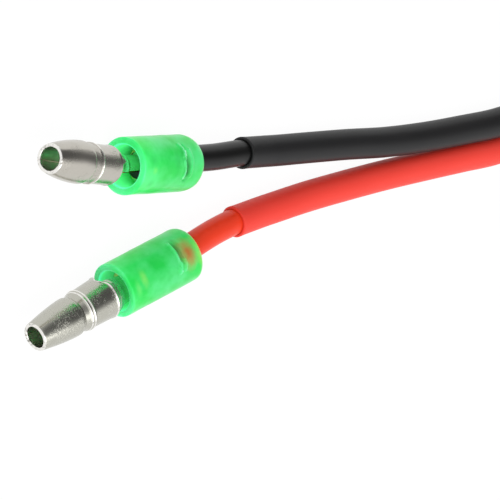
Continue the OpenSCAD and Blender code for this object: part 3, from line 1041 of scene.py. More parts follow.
@dataclass
class BulletTerminal:
    """A terminal rolled from one plated sheet: bullet, open neck, strand crimp and jacket crimp."""

    end: LeadEnd
    sheet_t: float = 0.35
    tip_d: float = 2.85
    # Stations of the barrel's closed rear and its middle, of the widest place of the head and of the tip
    barrel_rear: float = 2.0
    barrel_mid: float = 3.4
    widest_at: float = 6.3
    tip_at: float = 10.9
    # The bead and the second ridge, and the share of their width that is burnished, where a brighter plate
    # colour paints a highlight line
    bead_at: float = 4.72
    bead_h: float = 0.11
    ridge_at: float = 5.02
    ridge_w: float = 0.12
    burnish_highlight: float = 0.6
    # Inner radii of the crimps, and lengths over which they run into each other and into the neck
    strand_crimp_r: float = 0.68
    jacket_crimp_r: float = 1.33
    crimp_run: float = 0.8
    bell_run: float = 0.5
    # Length over which the barrel bends in, and how far past its closed rear that shapes it
    bend_run: float = 0.12
    bend_reach: float = 0.6
    # Degrees that the strip reaches to each side, and the gaps at the seam and between the wings
    strip_angle: float = 55.0
    seam_w: float = 0.05
    wing_gap: float = 0.3
    # Stations between which the jacket crimp's wings end
    wing_front: float = -3.65
    wing_end: float = -3.4
    # Distances behind its rear edge at which the strand crimp begins to wrap and does so in full
    wrap_from: float = 0.4
    wrap_full: float = 0.2
    # Distances before its front edge, where the wrap runs out, and before the bend, where the neck widens
    wrap_run: float = 0.3
    neck_run: float = 0.1
    # Degrees that the tongue reaches to each side, and the share of them that stays out in full
    tongue_angle: float = 22.0
    tongue_full: float = 0.6
    # Degrees from the neck's side to the middle of a relief notch, and its width
    relief_at: float = 10.0
    relief_w: float = 18.0
    # Stations between which the bullet's lean against the crimps comes in
    lean_from: float = -0.4
    lean_full: float = 0.9
    # The rolled rim, its dents, and distances from the tip at which they begin and are full
    rim_t: float = 0.36
    rim_dent: float = 0.03
    dent_from: float = 0.5
    dent_full: float = 0.2
    columns: int = 80
    # Dents across half the sheet, and along one millimetre
    dents: ClassVar[tuple[float, float]] = (9.0, 2.0)
    # Stations between which the sheet's form changes, and how many steps each stretch takes
    stretches: ClassVar[tuple[tuple[float, float, int], ...]] = (
        (-6.3, -3.65, 8), (-3.65, -2.5, 14), (-2.5, 0.8, 34), (0.8, 2.1, 52),
        (2.1, 4.4, 10), (4.4, 5.25, 40), (5.25, 6.3, 30), (6.3, 10.69, 30))
    rim_steps: ClassVar[int] = 10

    def outer(self, s: float) -> float:
        """Gives the sheet's outer radius.

        Args:
            s: The station.

        Returns:
            The radius there.
        """
        strand = self.strand_crimp_r + self.sheet_t
        jacket = self.jacket_crimp_r + self.sheet_t
        form = self.end.forming
        groove, head, tip = form.groove_d / 2, form.head_d / 2, self.tip_d / 2
        barrel = form.barrel_d / 2 + form.spring * (self.barrel_mid - max(s, form.bend))
        if s < self.barrel_rear + self.bend_reach:
            r = eased((
                (form.rear - self.crimp_run, jacket), (form.rear, strand),
                (form.front - self.bell_run, strand), (form.front, form.bell),
                (form.bend - self.bend_run, barrel - form.step), (form.bend, barrel)), s)
            return r + self.ridge(s - form.bend, form.flare, form.flare_w)
        if s <= form.groove_at:
            t = max(0.0, (s - form.round_from) / (form.groove_at - form.round_from))
            bead = self.ridge(s - self.bead_at, self.bead_h, self.ridge_w)
            second = self.ridge(s - self.ridge_at, form.ridge_h, self.ridge_w)
            return barrel - (barrel - groove) * t ** form.fullness + bead + second
        if s <= self.widest_at:
            t = (s - form.groove_at) / (self.widest_at - form.groove_at)
            return groove + (head - groove) * math.sin(math.pi / 2 * t)
        t = (s - self.widest_at) / (self.tip_at - self.rim_t / 2 - self.widest_at)
        return tip + (head - tip) * (1 - t ** form.head_fullness)

    def ridge(self, off: float, height: float, width: float) -> float:
        """Gives the rise of a rounded ridge at a distance from its middle."""
        return height * math.exp(-(off / width) ** 2)

    def half_angle(self, s: float) -> float:
        """Gives how far the sheet reaches around the axis.

        Args:
            s: The station.

        Returns:
            The angle to each side of the strip's middle.
        """
        form = self.end.forming
        seam = math.pi - self.seam_w / form.barrel_d
        jacket = math.pi - self.wing_gap / 2 / self.jacket_crimp_r
        strand, strip, neck = (math.radians(a) for a in (form.wrap, self.strip_angle, form.reach))
        return eased((
            (self.wing_front, jacket), (self.wing_end, strip),
            (form.rear - self.wrap_from, strip), (form.rear - self.wrap_full, strand),
            (form.front - self.wrap_run, strand), (form.front, neck),
            (form.bend - self.neck_run, neck), (self.barrel_rear, seam)), s)

    def angle(self, s: float, t: float) -> float:
        """Gives the angle around the axis of a place across the sheet.

        Args:
            s: Its station.
            t: How far across the sheet it lies, from -1 to 1.

        Returns:
            The angle.
        """
        form = self.end.forming
        turned_by = eased((
            (self.wing_front, 0.0), (self.wing_end, 1.0), (form.bend, 1.0), (self.barrel_rear, 0.0)), s)
        return t * self.half_angle(s) + math.radians(form.turn) * turned_by

    def tongue(self, s: float, angle: float) -> float:
        """Gives how far the barrel's tongue stays out where the rest bends in.

        Args:
            s: The station.
            angle: The angle around the axis.

        Returns:
            The distance, which is 0 beside the tongue.
        """
        form = self.end.forming
        if not form.bend - form.tongue_len < s < form.bend:
            return 0.0
        width = self.tongue_angle * (1 - (form.bend - s) / form.tongue_len)
        off = abs(math.degrees(angle) - form.tongue_at)
        stays = eased(((self.tongue_full, 1.0), (1.0, 0.0)), off / width)
        return (form.barrel_d / 2 - self.outer(s)) * stays

    def relief(self, s: float, angle: float) -> float:
        """Gives how far forward the relief notches beside the neck draw the barrel's rear edge.

        Args:
            s: The station.
            angle: The angle around the axis.

        Returns:
            The distance.
        """
        form = self.end.forming
        off = abs(math.degrees(angle) - form.turn) - form.reach
        depth = self.ridge(off - self.relief_at, form.relief, self.relief_w)
        return depth * eased(((form.front, 0.0), (form.bend, 1.0), (self.barrel_mid, 0.0)), s)

    def dent(self, s: float, t: float) -> float:
        """Gives the small dents that the rolled rim carries.

        Args:
            s: The station.
            t: How far across the sheet the place lies, from -1 to 1.

        Returns:
            The change of radius.
        """
        across, along = self.dents
        near = eased(((self.tip_at - self.dent_from, 0.0), (self.tip_at - self.dent_full, 1.0)), s)
        return near * self.rim_dent * noise.noise(Vector((t * across, s * along, self.end.roll)))

    def point(self, s: float, r: float, angle: float) -> Vector:
        """Gives a point of the sheet, bent where the bullet leans against its crimps.

        Args:
            s: Its station.
            r: Its radius.
            angle: Its angle around the axis.

        Returns:
            The point.
        """
        local = Vector((r * math.cos(angle), r * math.sin(angle), s + self.relief(s, angle)))
        lean = eased(((self.lean_from, 0.0), (self.lean_full, 1.0)), s)
        return (self.end.crimp_frame() @ local).lerp(self.end.bullet_frame() @ local, lean)

    def section(self) -> list[tuple[float, float]]:
        """Draws the sheet's section along the terminal.

        Returns:
            Radius and station around the section, outside first, then the rim and then inside.
        """
        outside = [(self.outer(s), s) for a, b, n in self.stretches for s in steps(a, b, n)]
        half = self.rim_t / 2
        rim_r, rim_z = self.tip_d / 2 - half, self.tip_at - half
        rim = [(rim_r + half * math.cos(a), rim_z + half * math.sin(a))
               for a in (math.pi * (i + 0.5) / self.rim_steps for i in range(self.rim_steps))]
        inside = [(r - self.sheet_t, s) for r, s in reversed(outside)]
        return outside + rim + inside

    def kinds(self, stations: Sequence[float]) -> list[SheetFace]:
        """Tells what each column of the section wears: burnished plate with a painted highlight on ridges
        and rim, and inside a rougher plate whose colour paints the bore's light level.

        Args:
            stations: The columns' stations.

        Returns:
            The columns' kinds.
        """
        form = self.end.forming
        ridges = [self.bead_at]
        if form.ridge_h:
            ridges += [self.ridge_at, form.bend + form.flare_w / 2]
        rim_from = (len(stations) - self.rim_steps) // 2
        worn = [
            SheetFace.BURNISHED_HIGHLIGHT if any(abs(s - at) < self.burnish_highlight * self.ridge_w for at in ridges)
            else SheetFace.OUTSIDE for s in stations[:rim_from]]
        return worn + [SheetFace.BURNISHED_HIGHLIGHT] * self.rim_steps + [SheetFace.INSIDE] * rim_from

    def build(self) -> bpy.types.Object:
        """Rolls the sheet and dresses it.

        Returns:
            The terminal.
        """
        shape = Shape()
        section = self.section()
        rows = []
        spread = []
        for k in range(self.columns + 1):
            t = 2 * k / self.columns - 1
            spread.append(t * math.pi * self.end.forming.barrel_d / 2)
            angles = [self.angle(s, t) for _, s in section]
            rows.append([self.point(s, r + self.dent(s, t) + self.tongue(s, a), a)
                         for (r, s), a in zip(section, angles)])
        stations = [s for _, s in section]
        starts = shape.loft(rows, spread, (*stations, stations[0]), kinds=self.kinds(stations))
        shape.ladder(starts[0], len(section), SheetFace.CUT)
        shape.ladder(starts[-1], len(section), SheetFace.CUT)
        return shape.piece(
            self.end.node("bullet"), (self.end.forming.plate, CUT_EDGE, DULL_INSIDE_TIN_PAINTED_LIGHT, BURNISHED_HIGHLIGHT_TIN),
            (self.end.node("bullet_terminal"),))


@dataclass
class TerminalSleeve(Sway):
    """A soft dipped sleeve: open in front, drawn in behind to a lip around the wire, and creased."""

    end: LeadEnd
    outer_d: float = 5.5
    length: float = 9.6
    bore_d: float = 4.1
    edge_round: float = 0.14
    # The rear wall's length, hole and lip, and how far forward the hole's shift to the wire is felt
    grip_len: float = 1.1
    hole_d: float = 3.0
    hole_run: float = 1.6
    lip_d: float = 3.6
    lip_h: float = 0.2
    throat_round: float = 0.1
    # How uneven the outside is, how fast that changes along it, and the skin inside that stays even
    sway: float = 0.05
    sway_rate: float = 0.4
    skin: float = 0.1
    # Angle in degrees at which the slanted front is shortest
    slant_at: float = 44.0
    sides: int = 240
    edge_steps: int = 8
    round_steps: int = 16
    rear_steps: int = 6
    # Stations between which the wall is divided, and how many steps each stretch takes
    stretches: ClassVar[tuple[tuple[float, float, int], ...]] = ((-0.3, -5.0, 16), (-5.0, -7.4, 44))

    def shift(self, r: float, z: float, angle: float) -> float:
        """Creases the outside over the jacket crimp and leaves it a little uneven.

        Args:
            r: Radius of the surface.
            z: Station of the place.
            angle: Its angle around the axis.

        Returns:
            The change of radius.
        """
        outside = eased(((self.bore_d / 2 + self.skin, 0.0), (self.outer_d / 2, 1.0)), r)
        if outside == 0:
            return 0.0
        along = z * self.sway_rate + self.end.roll
        uneven = noise.noise(Vector((math.cos(angle), math.sin(angle), along)))
        folds = sum(fold.lift(r, z, angle) for fold in self.end.creases)
        return outside * (folds - self.sway * abs(uneven))

    def centre(self, r: float, z: float) -> Vector:
        """Moves the rear hole to where the wire leaves.

        Args:
            r: Radius of the ring.
            z: Its station.

        Returns:
            How far the ring's middle lies off the axis.
        """
        leaves = self.end.sleeve_frame().to_3x3().inverted() @ Vector(self.end.exit)
        near = eased(((self.hole_d / 2, 1.0), (self.outer_d / 2, 0.0)), r)
        behind = eased(((-self.length, 1.0), (-self.length + self.hole_run, 0.0)), z)
        return Vector((leaves.x, leaves.y, 0)) * near * behind

    def lean(self, z: float, angle: float) -> float:
        """Slants the cut front end."""
        near = eased(((-self.length / 2, 0.0), (0.0, 1.0)), z)
        return -near * self.end.slant * math.cos(angle - math.radians(self.slant_at))

    def build(self) -> bpy.types.Object:
        """Turns the sleeve and dresses it.

        Returns:
            The sleeve.
        """
        r, bore, hole, lip = (d / 2 for d in (self.outer_d, self.bore_d, self.hole_d, self.lip_d))
        rear, front = -self.length, self.end.front_len
        grip = rear + self.grip_len
        round_from = rear + self.end.rear_len
        round_len = self.end.rear_len - self.lip_h
        stretches = (*self.stretches, (self.stretches[-1][1], round_from, self.rear_steps))
        wall = [(r, z, 0.0) for a, b, n in stretches for z in steps(a, b, n)]
        quarter = [math.pi / 2 * i / self.round_steps for i in range(self.round_steps + 1)]
        dome = [(lip + (r - lip) * math.cos(a), round_from - round_len * math.sin(a), 0.0) for a in quarter]
        profile = rounded((
            (bore, front, self.edge_round), (r, front, self.edge_round), *wall, *dome,
            (lip, rear, self.lip_h / 2), (hole, rear, self.lip_h / 2), (hole, grip, 0.0),
            (bore, grip + bore - hole, self.throat_round)), self.edge_steps)
        shape = turned(profile, self.end.sleeve_frame(), self.sides, self)
        finish = SoftGreenPvc(self.end.node("sleeve_pvc"), self.end.sleeve_frame(), self.end.marks,
                              self.end.inside_painted_glow, front)
        return shape.piece(self.end.node("sleeve"), (finish,), (self.end.node("terminal_sleeve"),))


@dataclass
class TwistedStrands:
    """A bundle of fine bare strands, twisted together."""

    name: str
    node: str
    place: Matrix
    start: float
    end: float
    bundle_d: float = 1.3
    strand_d: float = 0.24
    # Length of one turn of the twist
    lay: float = 14.0
    # How much the strands spread at their end, over which length, and the part of it that all share
    splay: float = 0.0
    splay_len: float = 0.9
    splay_even: float = 0.3
    sides: int = 8
    count: int = 26
    # Strands in each layer, from the middle out
    layers: ClassVar[tuple[int, ...]] = (1, 6, 12)
    # Steps through the noise from layer to layer and from strand to strand
    uneven_steps: ClassVar[tuple[float, float]] = (3.7, 1.9)

    def build(self) -> bpy.types.Object:
        """Twists the strands and dresses them.

        Returns:
            The bundle.
        """
        shape = Shape()
        reach = (self.bundle_d - self.strand_d) / 2
        by_layer, by_strand = self.uneven_steps
        for layer, strands in enumerate(self.layers):
            r = reach * layer / (len(self.layers) - 1)
            for k in range(strands):
                turn = math.tau * k / strands
                uneven = noise.noise(Vector((layer * by_layer, k * by_strand, self.lay)))
                stop = self.end - abs(uneven) * self.splay
                most = self.splay * (self.splay_even + uneven)
                points = []
                for z in (*steps(self.start, stop, self.count), stop):
                    a = turn + math.tau * z / self.lay
                    spread = r * (1 + eased(((self.end - self.splay_len, 0.0), (self.end, most)), z))
                    points.append(self.place @ Vector((spread * math.cos(a), spread * math.sin(a), z)))
                Line(tuple(points)).sweep(shape, self.strand_d / 2, self.sides)
        return shape.piece(self.name, (COPPER,), (self.node,))


@dataclass
class Lead:
    """One lead: a jacketed wire in a shrunk tube, from its solder tag to its terminal."""

    end: LeadEnd
    run: Sequence[Point]
    wire_d: float = 2.6
    shrink_d: float = 3.1
    shrink_play: float = 0.02
    # Length of bare strands before the jacket, and how far behind the neck the wire begins to bend
    bare_len: float = 0.5
    bend_at: float = 6.65
    # Where the tube's rear end lies along Y, and the form of its front lip
    tube_rear: float = 8.4
    lip_len: float = 0.5
    lip_flare: float = 0.03
    lip_round: float = 0.14
    # Where the crimped strands begin, how far behind the crimp's front they end, and how they splay
    strands_rear: float = -4.3
    strands_short: float = 0.6
    strands_splay: float = 0.12
    # Stations along the socket's axis between which the soldered strands lie
    tail_rear: float = -15.5
    tail_front: float = -13.0
    pitch: float = 0.4
    sides: int = 40
    # The point of the run at which the shrunk tube starts
    shrink_from: ClassVar[int] = 1
    # Distances from the tube's front end at which its rounded lip is divided
    lip_steps: ClassVar[tuple[float, ...]] = (0.01, 0.03, 0.06, 0.1, 0.14, 0.22)

    def wire_line(self) -> Line:
        """Draws the wire's line.

        Returns:
            The line, from the wire's rear end to the jacket crimp.
        """
        neck, axis = self.end.neck(), self.end.axis()
        leaves = Vector(self.end.mouth) - TerminalSleeve.length * axis + Vector(self.end.exit)
        wire_at = self.bare_len - self.end.forming.rear
        front = [neck - wire_at * axis, neck - self.bend_at * axis, leaves]
        return Line.through([*reversed(self.run), *reversed(front)], self.pitch, LAY_H)

    def build_wire(self) -> bpy.types.Object:
        """Sweeps the jacketed wire and dresses it.

        Returns:
            The wire.
        """
        shape = Shape()
        self.wire_line().sweep(shape, self.wire_d / 2, self.sides)
        return shape.piece(
            self.end.node("lead_wire"), (self.end.colour.jacket(),), (self.end.node("wire"),))

    def build_tube(self) -> bpy.types.Object:
        """Sweeps the shrunk tube, with a loose lip at its front, and dresses it.

        Returns:
            The tube.
        """
        last = self.run[-1]
        route = [*self.run[self.shrink_from:], (last[0], self.tube_rear, last[2])]
        line = Line.through(route, self.pitch, LAY_H).with_start(self.lip_steps)
        far = line.distances()
        inner, outer = self.wire_d / 2 + self.shrink_play, self.shrink_d / 2
        lip = [self.lip_flare * math.exp(-(d / self.lip_len) ** 2) for d in far]
        edge = [self.lip_round - math.sqrt(self.lip_round ** 2 - max(0.0, self.lip_round - d) ** 2)
                for d in far]
        outside = line.rings([outer + e - c for e, c in zip(lip, edge)], self.sides)
        inside = line.rings([inner + e for e in lip], self.sides)
        shape = Shape()
        rows = [*outside, *reversed(inside)]
        shape.loft(rows, [*far, *reversed(far)], girth(outer, self.sides), loop=True)
        return shape.piece(
            self.end.node("shrunk_tube"), (self.end.colour.tube(),), (self.end.node("heat_shrink"),))

    def build_strands(self) -> bpy.types.Object:
        """Twists the strands in the strand crimp, splayed in front of it, and dresses them.

        Returns:
            The strands.
        """
        front = self.end.forming.front - self.strands_short
        return TwistedStrands(
            self.end.node("strand_brush"), self.end.node("crimped_strands"), self.end.crimp_frame(),
            self.strands_rear, front, splay=self.strands_splay).build()

    def build_tail(self, socket: Matrix) -> bpy.types.Object:
        """Twists the strands that are soldered to the socket and dresses them.

        Args:
            socket: The socket's place.

        Returns:
            The strands.
        """
        behind = Matrix.Translation((self.end.side * TAG_X, 0, 0))
        return TwistedStrands(
            self.end.node("soldered_strands"), self.end.node("tail_strands"), socket @ behind,
            self.tail_rear, self.tail_front).build()


@dataclass
class Thread(Sway):
    """A fine V thread cut into a cylinder."""

    radius: float
    front: float
    rear: float
    pitch: float
    depth: float
    # Steepness of the groove's sides, and how much of its depth the flat crests take
    steep: float = 1.25
    crest: float = 0.1
    # Distances from the front between which the groove runs out, and within which nothing is cut
    runout_from: float = 1.2
    runout_to: float = 0.4
    uncut: float = 0.01
    # How closely a point's radius has to be the cylinder's
    match: float = 1e-6

    def shift(self, r: float, z: float, angle: float) -> float:
        """Cuts the thread's groove, which runs out at both ends.

        Args:
            r: Radius of the surface.
            z: Station of the place.
            angle: Its angle around the axis.

        Returns:
            The change of radius.
        """
        if abs(r - self.radius) > self.match or z > self.front - self.uncut:
            return 0.0
        phase = (z / self.pitch - angle / math.tau) % 1.0
        groove = min(1.0, max(0.0, self.steep * (1 - abs(2 * phase - 1)) - self.crest))
        runs = eased((
            (self.rear, 1.0), (self.front - self.runout_from, 1.0), (self.front - self.runout_to, 0.0)), z)
        end = eased(((self.rear, 1.0), (self.rear + self.depth, 0.0)), z)
        return -self.depth * max(groove * runs, end)


@dataclass
class ChargingSocket:
    """The panel socket: threaded bush, gasket, lock washer, nut, liner, pin and contacts."""

    axis_h: float = 7.0
    thread_r: float = 5.5
    thread_pitch: float = 0.75
    thread_depth: float = 0.4
    # How far behind the flange the thread's rows begin
    thread_gap: float = 0.02
    bore_r: float = 4.45
    flange_r: float = 7.0
    # Stations of the flange's seat, of the front face and of the rear end
    seat: float = 6.0
    face: float = 8.0
    rear: float = -4.5
    chamfer: float = 0.4
    edge: float = 0.15
    gasket_t: float = 1.0
    gasket_w: float = 1.2
    gasket_inner_round: float = 0.1
    gasket_outer_round: float = 0.3
    # Room between the gasket and the thread
    slip: float = 0.05
    sides: int = 96
    edge_steps: int = 5
    gasket_steps: int = 8
    # Rows of points across one turn of the thread
    rows_a_turn: ClassVar[int] = 10
    # Solids that keep their own form, with their finishes
    kept: ClassVar[dict[str, Finish]] = {
        "lock_washer": NICKEL, "hex_nut": NICKEL, "centre_pin": NICKEL, "centre_tag": BRASS,
        "outer_contact": BRASS, "socket_liner": NYLON, "rear_base": NYLON,
        "black_solder_joint": SOLDER, "red_solder_joint": SOLDER}

    def place(self) -> Matrix:
        """Gives the place of what is drawn along +Z, with the mouth towards -Y."""
        return Matrix.Translation((0, 0, self.axis_h)) @ Matrix.Rotation(math.pi / 2, 4, "X")

    def build_bush(self) -> bpy.types.Object:
        """Cuts the thread on the flanged bush and dresses it.

        Returns:
            The bush.
        """
        c, e, pitch = self.chamfer, self.edge, self.thread_pitch
        front = rounded((
            (self.bore_r, self.face - c, e), (self.bore_r + c, self.face, e),
            (self.flange_r - c, self.face, e), (self.flange_r, self.face - c, e),
            (self.flange_r, self.seat, e), (self.thread_r, self.seat, 0.0)), self.edge_steps)
        rows = math.ceil((self.seat - self.rear) / pitch * self.rows_a_turn)
        thread = [(self.thread_r, z) for z in steps(self.seat - self.thread_gap, self.rear, rows)]
        back = [(self.thread_r - c, self.rear), (self.bore_r, self.rear)]
        shape = turned([*front, *thread, *back], self.place(), self.sides,
                       Thread(self.thread_r, self.seat, self.rear, pitch, self.thread_depth))
        return shape.piece("threaded_bush", (NICKEL,), ("socket_bush",))

    def build_gasket(self) -> bpy.types.Object:
        """Moulds the rubber gasket and dresses it.

        Returns:
            The gasket.
        """
        inner = self.thread_r + self.slip
        outer = inner + self.gasket_w
        low = self.seat - self.gasket_t
        profile = rounded((
            (inner, low, self.gasket_inner_round), (inner, self.seat, self.gasket_inner_round),
            (outer, self.seat, self.gasket_outer_round), (outer, low, self.gasket_outer_round)),
            self.gasket_steps)
        shape = turned(profile, self.place(), self.sides)
        return shape.piece("rubber_gasket", (RUBBER,), ("panel_gasket",))

    def dress_kept(self) -> None:
        """Dresses the solids that keep their own form."""
        for node, finish in self.kept.items():
            dress(node, finish)


@dataclass(frozen=True)
class Card:
    """A dark card in the studio, which shows in metal as a soft dark band."""

    # Where it stands, and how far its full shade and its soft edge reach, in degrees
    heading: float
    rise: float
    core: float
    edge: float
    shade: float

    def side(self) -> Vector:
        """Gives the direction in which the card stands."""
        return direction(self.heading, self.rise)


@dataclass
class Studio:
    """A white paper floor under an even sky with dark cards behind the part, and the camera."""

    # The camera: what it looks at, its lens, and its axes as they lie in the photograph
    target: Point = (55.99, 54.9, 1.575)
    distance: float = 400.0
    lens: float = 290.88
    sensor: float = 36.0
    clip_near: float = 10.0
    clip_far: float = 20000.0
    right: Point = (-0.696, -0.1995, 0.6898)
    up: Point = (-0.1634, -0.8914, -0.4227)
    back: Point = (0.6992, -0.4069, 0.5878)
    # The paper, as it lights the part and as it is seen with the part's shadow
    floor_size: float = 4000.0
    paper: str = "f4f4f4"
    paper_glow: float = 0.96
    paper_shade: str = "404040"
    # The sky, and how much of the cards is left in the light that isn't mirrored
    sky: str = "ffffff"
    sky_light: float = 1.0
    card_light: float = 0.32
    lamp_size: float = 500.0
    lamp_power: float = 0.9
    lamp_place: Point = (120.0, 160.0, 500.0)
    cards: ClassVar[tuple[Card, ...]] = (Card(233, 31, 20, 50, 0.88), Card(183, 14, 6, 24, 0.8))

    def build_camera(self) -> None:
        """Sets the camera at the photograph's viewing angle."""
        lens = bpy.data.cameras.new("camera")
        lens.lens = self.lens
        lens.sensor_width = self.sensor
        lens.clip_start = self.clip_near * MM
        lens.clip_end = self.clip_far * MM
        camera = bpy.data.objects.new("camera", lens)
        bpy.context.scene.collection.objects.link(camera)
        axes = Matrix((self.right, self.up, self.back)).transposed().to_4x4()
        place = Vector(self.target) + Vector(self.back) * self.distance
        camera.matrix_world = Matrix.Translation(place * MM) @ axes.to_quaternion().to_matrix().to_4x4()
        bpy.context.scene.camera = camera

    def seen(self, tree: bpy.types.NodeTree, path: bpy.types.Node) -> bpy.types.NodeSocket:
        """Tells the rays that see the studio: straight, mirrored, or through something clear.

        Args:
            tree: The tree that takes the nodes.
            path: Its Light Path node.

        Returns:
            The socket that is 1 for such a ray.
        """
        mirrored = add(tree, "ShaderNodeMath", {
            0: path.outputs["Is Camera Ray"], 1: path.outputs["Is Glossy Ray"]}, operation="ADD")
        shown = add(tree, "ShaderNodeMath", {
            0: mirrored.outputs[0], 1: path.outputs["Is Transmission Ray"]}, operation="ADD", use_clamp=True)
        return shown.outputs[0]

    def build_floor(self) -> None:
        """Lays the paper, white to the eye and in reflections, with the part's shadow on it."""
        half = self.floor_size / 2 * MM
        mesh = bpy.data.meshes.new("paper_floor")
        mesh.from_pydata([(-half, -half, 0), (half, -half, 0), (half, half, 0), (-half, half, 0)], [],
                         [(0, 1, 2, 3)])
        paper = bpy.data.materials.new("studio_paper")
        paper.use_nodes = True
        tree = paper.node_tree
        tree.nodes.clear()
        shown = self.seen(tree, add(tree, "ShaderNodeLightPath"))
        lit = add(tree, "ShaderNodeBsdfDiffuse", {"Color": linear(self.paper)})
        shade = add(tree, "ShaderNodeBsdfDiffuse", {"Color": linear(self.paper_shade)})
        glow = add(tree, "ShaderNodeEmission", {"Color": linear(self.sky), "Strength": self.paper_glow})
        white = add(tree, "ShaderNodeAddShader", {0: shade.outputs[0], 1: glow.outputs[0]})
        mixed = add(tree, "ShaderNodeMixShader", {0: shown, 1: lit.outputs[0], 2: white.outputs[0]})
        add(tree, "ShaderNodeOutputMaterial", {"Surface": mixed.outputs[0]})
        mesh.materials.append(paper)
        floor = bpy.data.objects.new("paper_floor", mesh)
        bpy.context.scene.collection.objects.link(floor)

    def build_sky(self) -> None:
        """Lights the part from an even sky, which dark cards stand in front of on one side."""
        world = bpy.data.worlds.new("studio_sky")
        world.use_nodes = True
        tree = world.node_tree
        tree.nodes.clear()
        path = add(tree, "ShaderNodeLightPath")
        look = add(tree, "ShaderNodeTexCoord")
        level = add(tree, "ShaderNodeMapRange", {
            "Value": self.seen(tree, path), "To Min": self.sky_light})
        mirrored = add(tree, "ShaderNodeMapRange", {
            "Value": path.outputs["Is Glossy Ray"], "To Min": self.card_light})
        unseen = add(tree, "ShaderNodeMath", {
            0: 1.0, 1: path.outputs["Is Camera Ray"]}, operation="SUBTRACT")
        shows = add(tree, "ShaderNodeMath", {
            0: mirrored.outputs[0], 1: unseen.outputs[0]}, operation="MULTIPLY")
        for card in self.cards:
            facing = add(tree, "ShaderNodeVectorMath", {
                0: look.outputs["Generated"], 1: card.side()}, operation="DOT_PRODUCT")
            cover = add(tree, "ShaderNodeMapRange", {
                "Value": facing.outputs["Value"], "From Min": math.cos(math.radians(card.edge)),
                "From Max": math.cos(math.radians(card.core)), "To Max": card.shade},
                interpolation_type="SMOOTHSTEP")
            dark = add(tree, "ShaderNodeMath", {
                0: cover.outputs[0], 1: shows.outputs[0]}, operation="MULTIPLY")
            left = add(tree, "ShaderNodeMath", {0: 1.0, 1: dark.outputs[0]}, operation="SUBTRACT")
            level = add(tree, "ShaderNodeMath", {
                0: level.outputs[0], 1: left.outputs[0]}, operation="MULTIPLY")
        glow = add(tree, "ShaderNodeBackground", {"Color": linear(self.sky), "Strength": level.outputs[0]})
        add(tree, "ShaderNodeOutputWorld", {"Surface": glow.outputs[0]})
        bpy.context.scene.world = world

    def build_lamp(self) -> None:
        """Hangs one wide soft lamp above the leads, turned towards them."""
        lamp = bpy.data.lights.new("soft_lamp", "AREA")
        lamp.shape = "SQUARE"
        lamp.size = self.lamp_size * MM
        lamp.energy = self.lamp_power
        made = bpy.data.objects.new("soft_lamp", lamp)
        made.location = Vector(self.lamp_place) * MM
        aim = Vector(self.target) - Vector(self.lamp_place)
        made.rotation_euler = aim.to_track_quat("-Z", "Y").to_euler()
        bpy.context.scene.collection.objects.link(made)


# How each lead's end lies, as the photograph shows it
BLACK_END = LeadEnd(
    colour=LeadColour.BLACK, mouth=(78.65, 41.15, 3.252), yaw=-8.5, pitch=3.0, bullet_yaw=-16.5,
    bullet_pitch=6.5, roll=28.0, pull=1.0, exit=(0.0, -0.2, -0.25), side=1,
    forming=Forming(
        plate=TIN, barrel_d=3.75, groove_d=3.64, head_d=4.06, head_fullness=1.85, spring=0.0,
        round_from=5.2, groove_at=5.8, fullness=1.7, ridge_h=0.0, bend=1.65, step=0.4, flare=0.05,
        flare_w=0.16, rear=-2.65, front=-0.35, wrap=65, bell=1.3, turn=35, reach=62, tongue_at=10,
        tongue_len=0.75),
    rear_len=1.6, front_len=0.0, slant=0.0, inside_painted_glow=0.8,
    creases=(
        Crease(((-5.6, 66), (-5.9, 52), (-5.75, 38)), 0.22, 0.12),
        Crease(((-5.85, 48), (-5.75, 42), (-6.0, 34)), 0.16, 0.1),
        Crease(((-5.8, 30), (-5.95, 10), (-5.85, -6)), 0.18, 0.12),
        Crease(((-6.3, 36), (-6.35, 16), (-6.1, -8)), -0.28, 0.2),
        Crease(((-6.15, 62), (-6.35, 42)), -0.22, 0.14),
        Crease(((-6.75, 52), (-6.9, 30), (-6.7, 0)), 0.16, 0.2)),
    # Marks: the dark ones at -6.3 and -5.8 are painted shade in the folds, and partly the crimp's end seen
    # through the wall; the pale one at -1.5 is a painted glint of the brass inside; the others show the
    # crimps through the wall
    marks=(
        Mark(-6.3, 15, 0.6, 2.0, "0a6a2c", 1.0), Mark(-5.8, 44, 0.7, 1.0, "14a045", 0.7),
        Mark(-1.5, 13, 0.5, 0.5, "8ff06a", 0.5), Mark(-1.4, 34, 0.9, 1.0, "18b846", 0.45),
        Mark(-1.3, -16, 0.7, 0.8, "18b846", 0.4), Mark(-4.9, 30, 0.8, 1.8, "18b846", 0.35)))
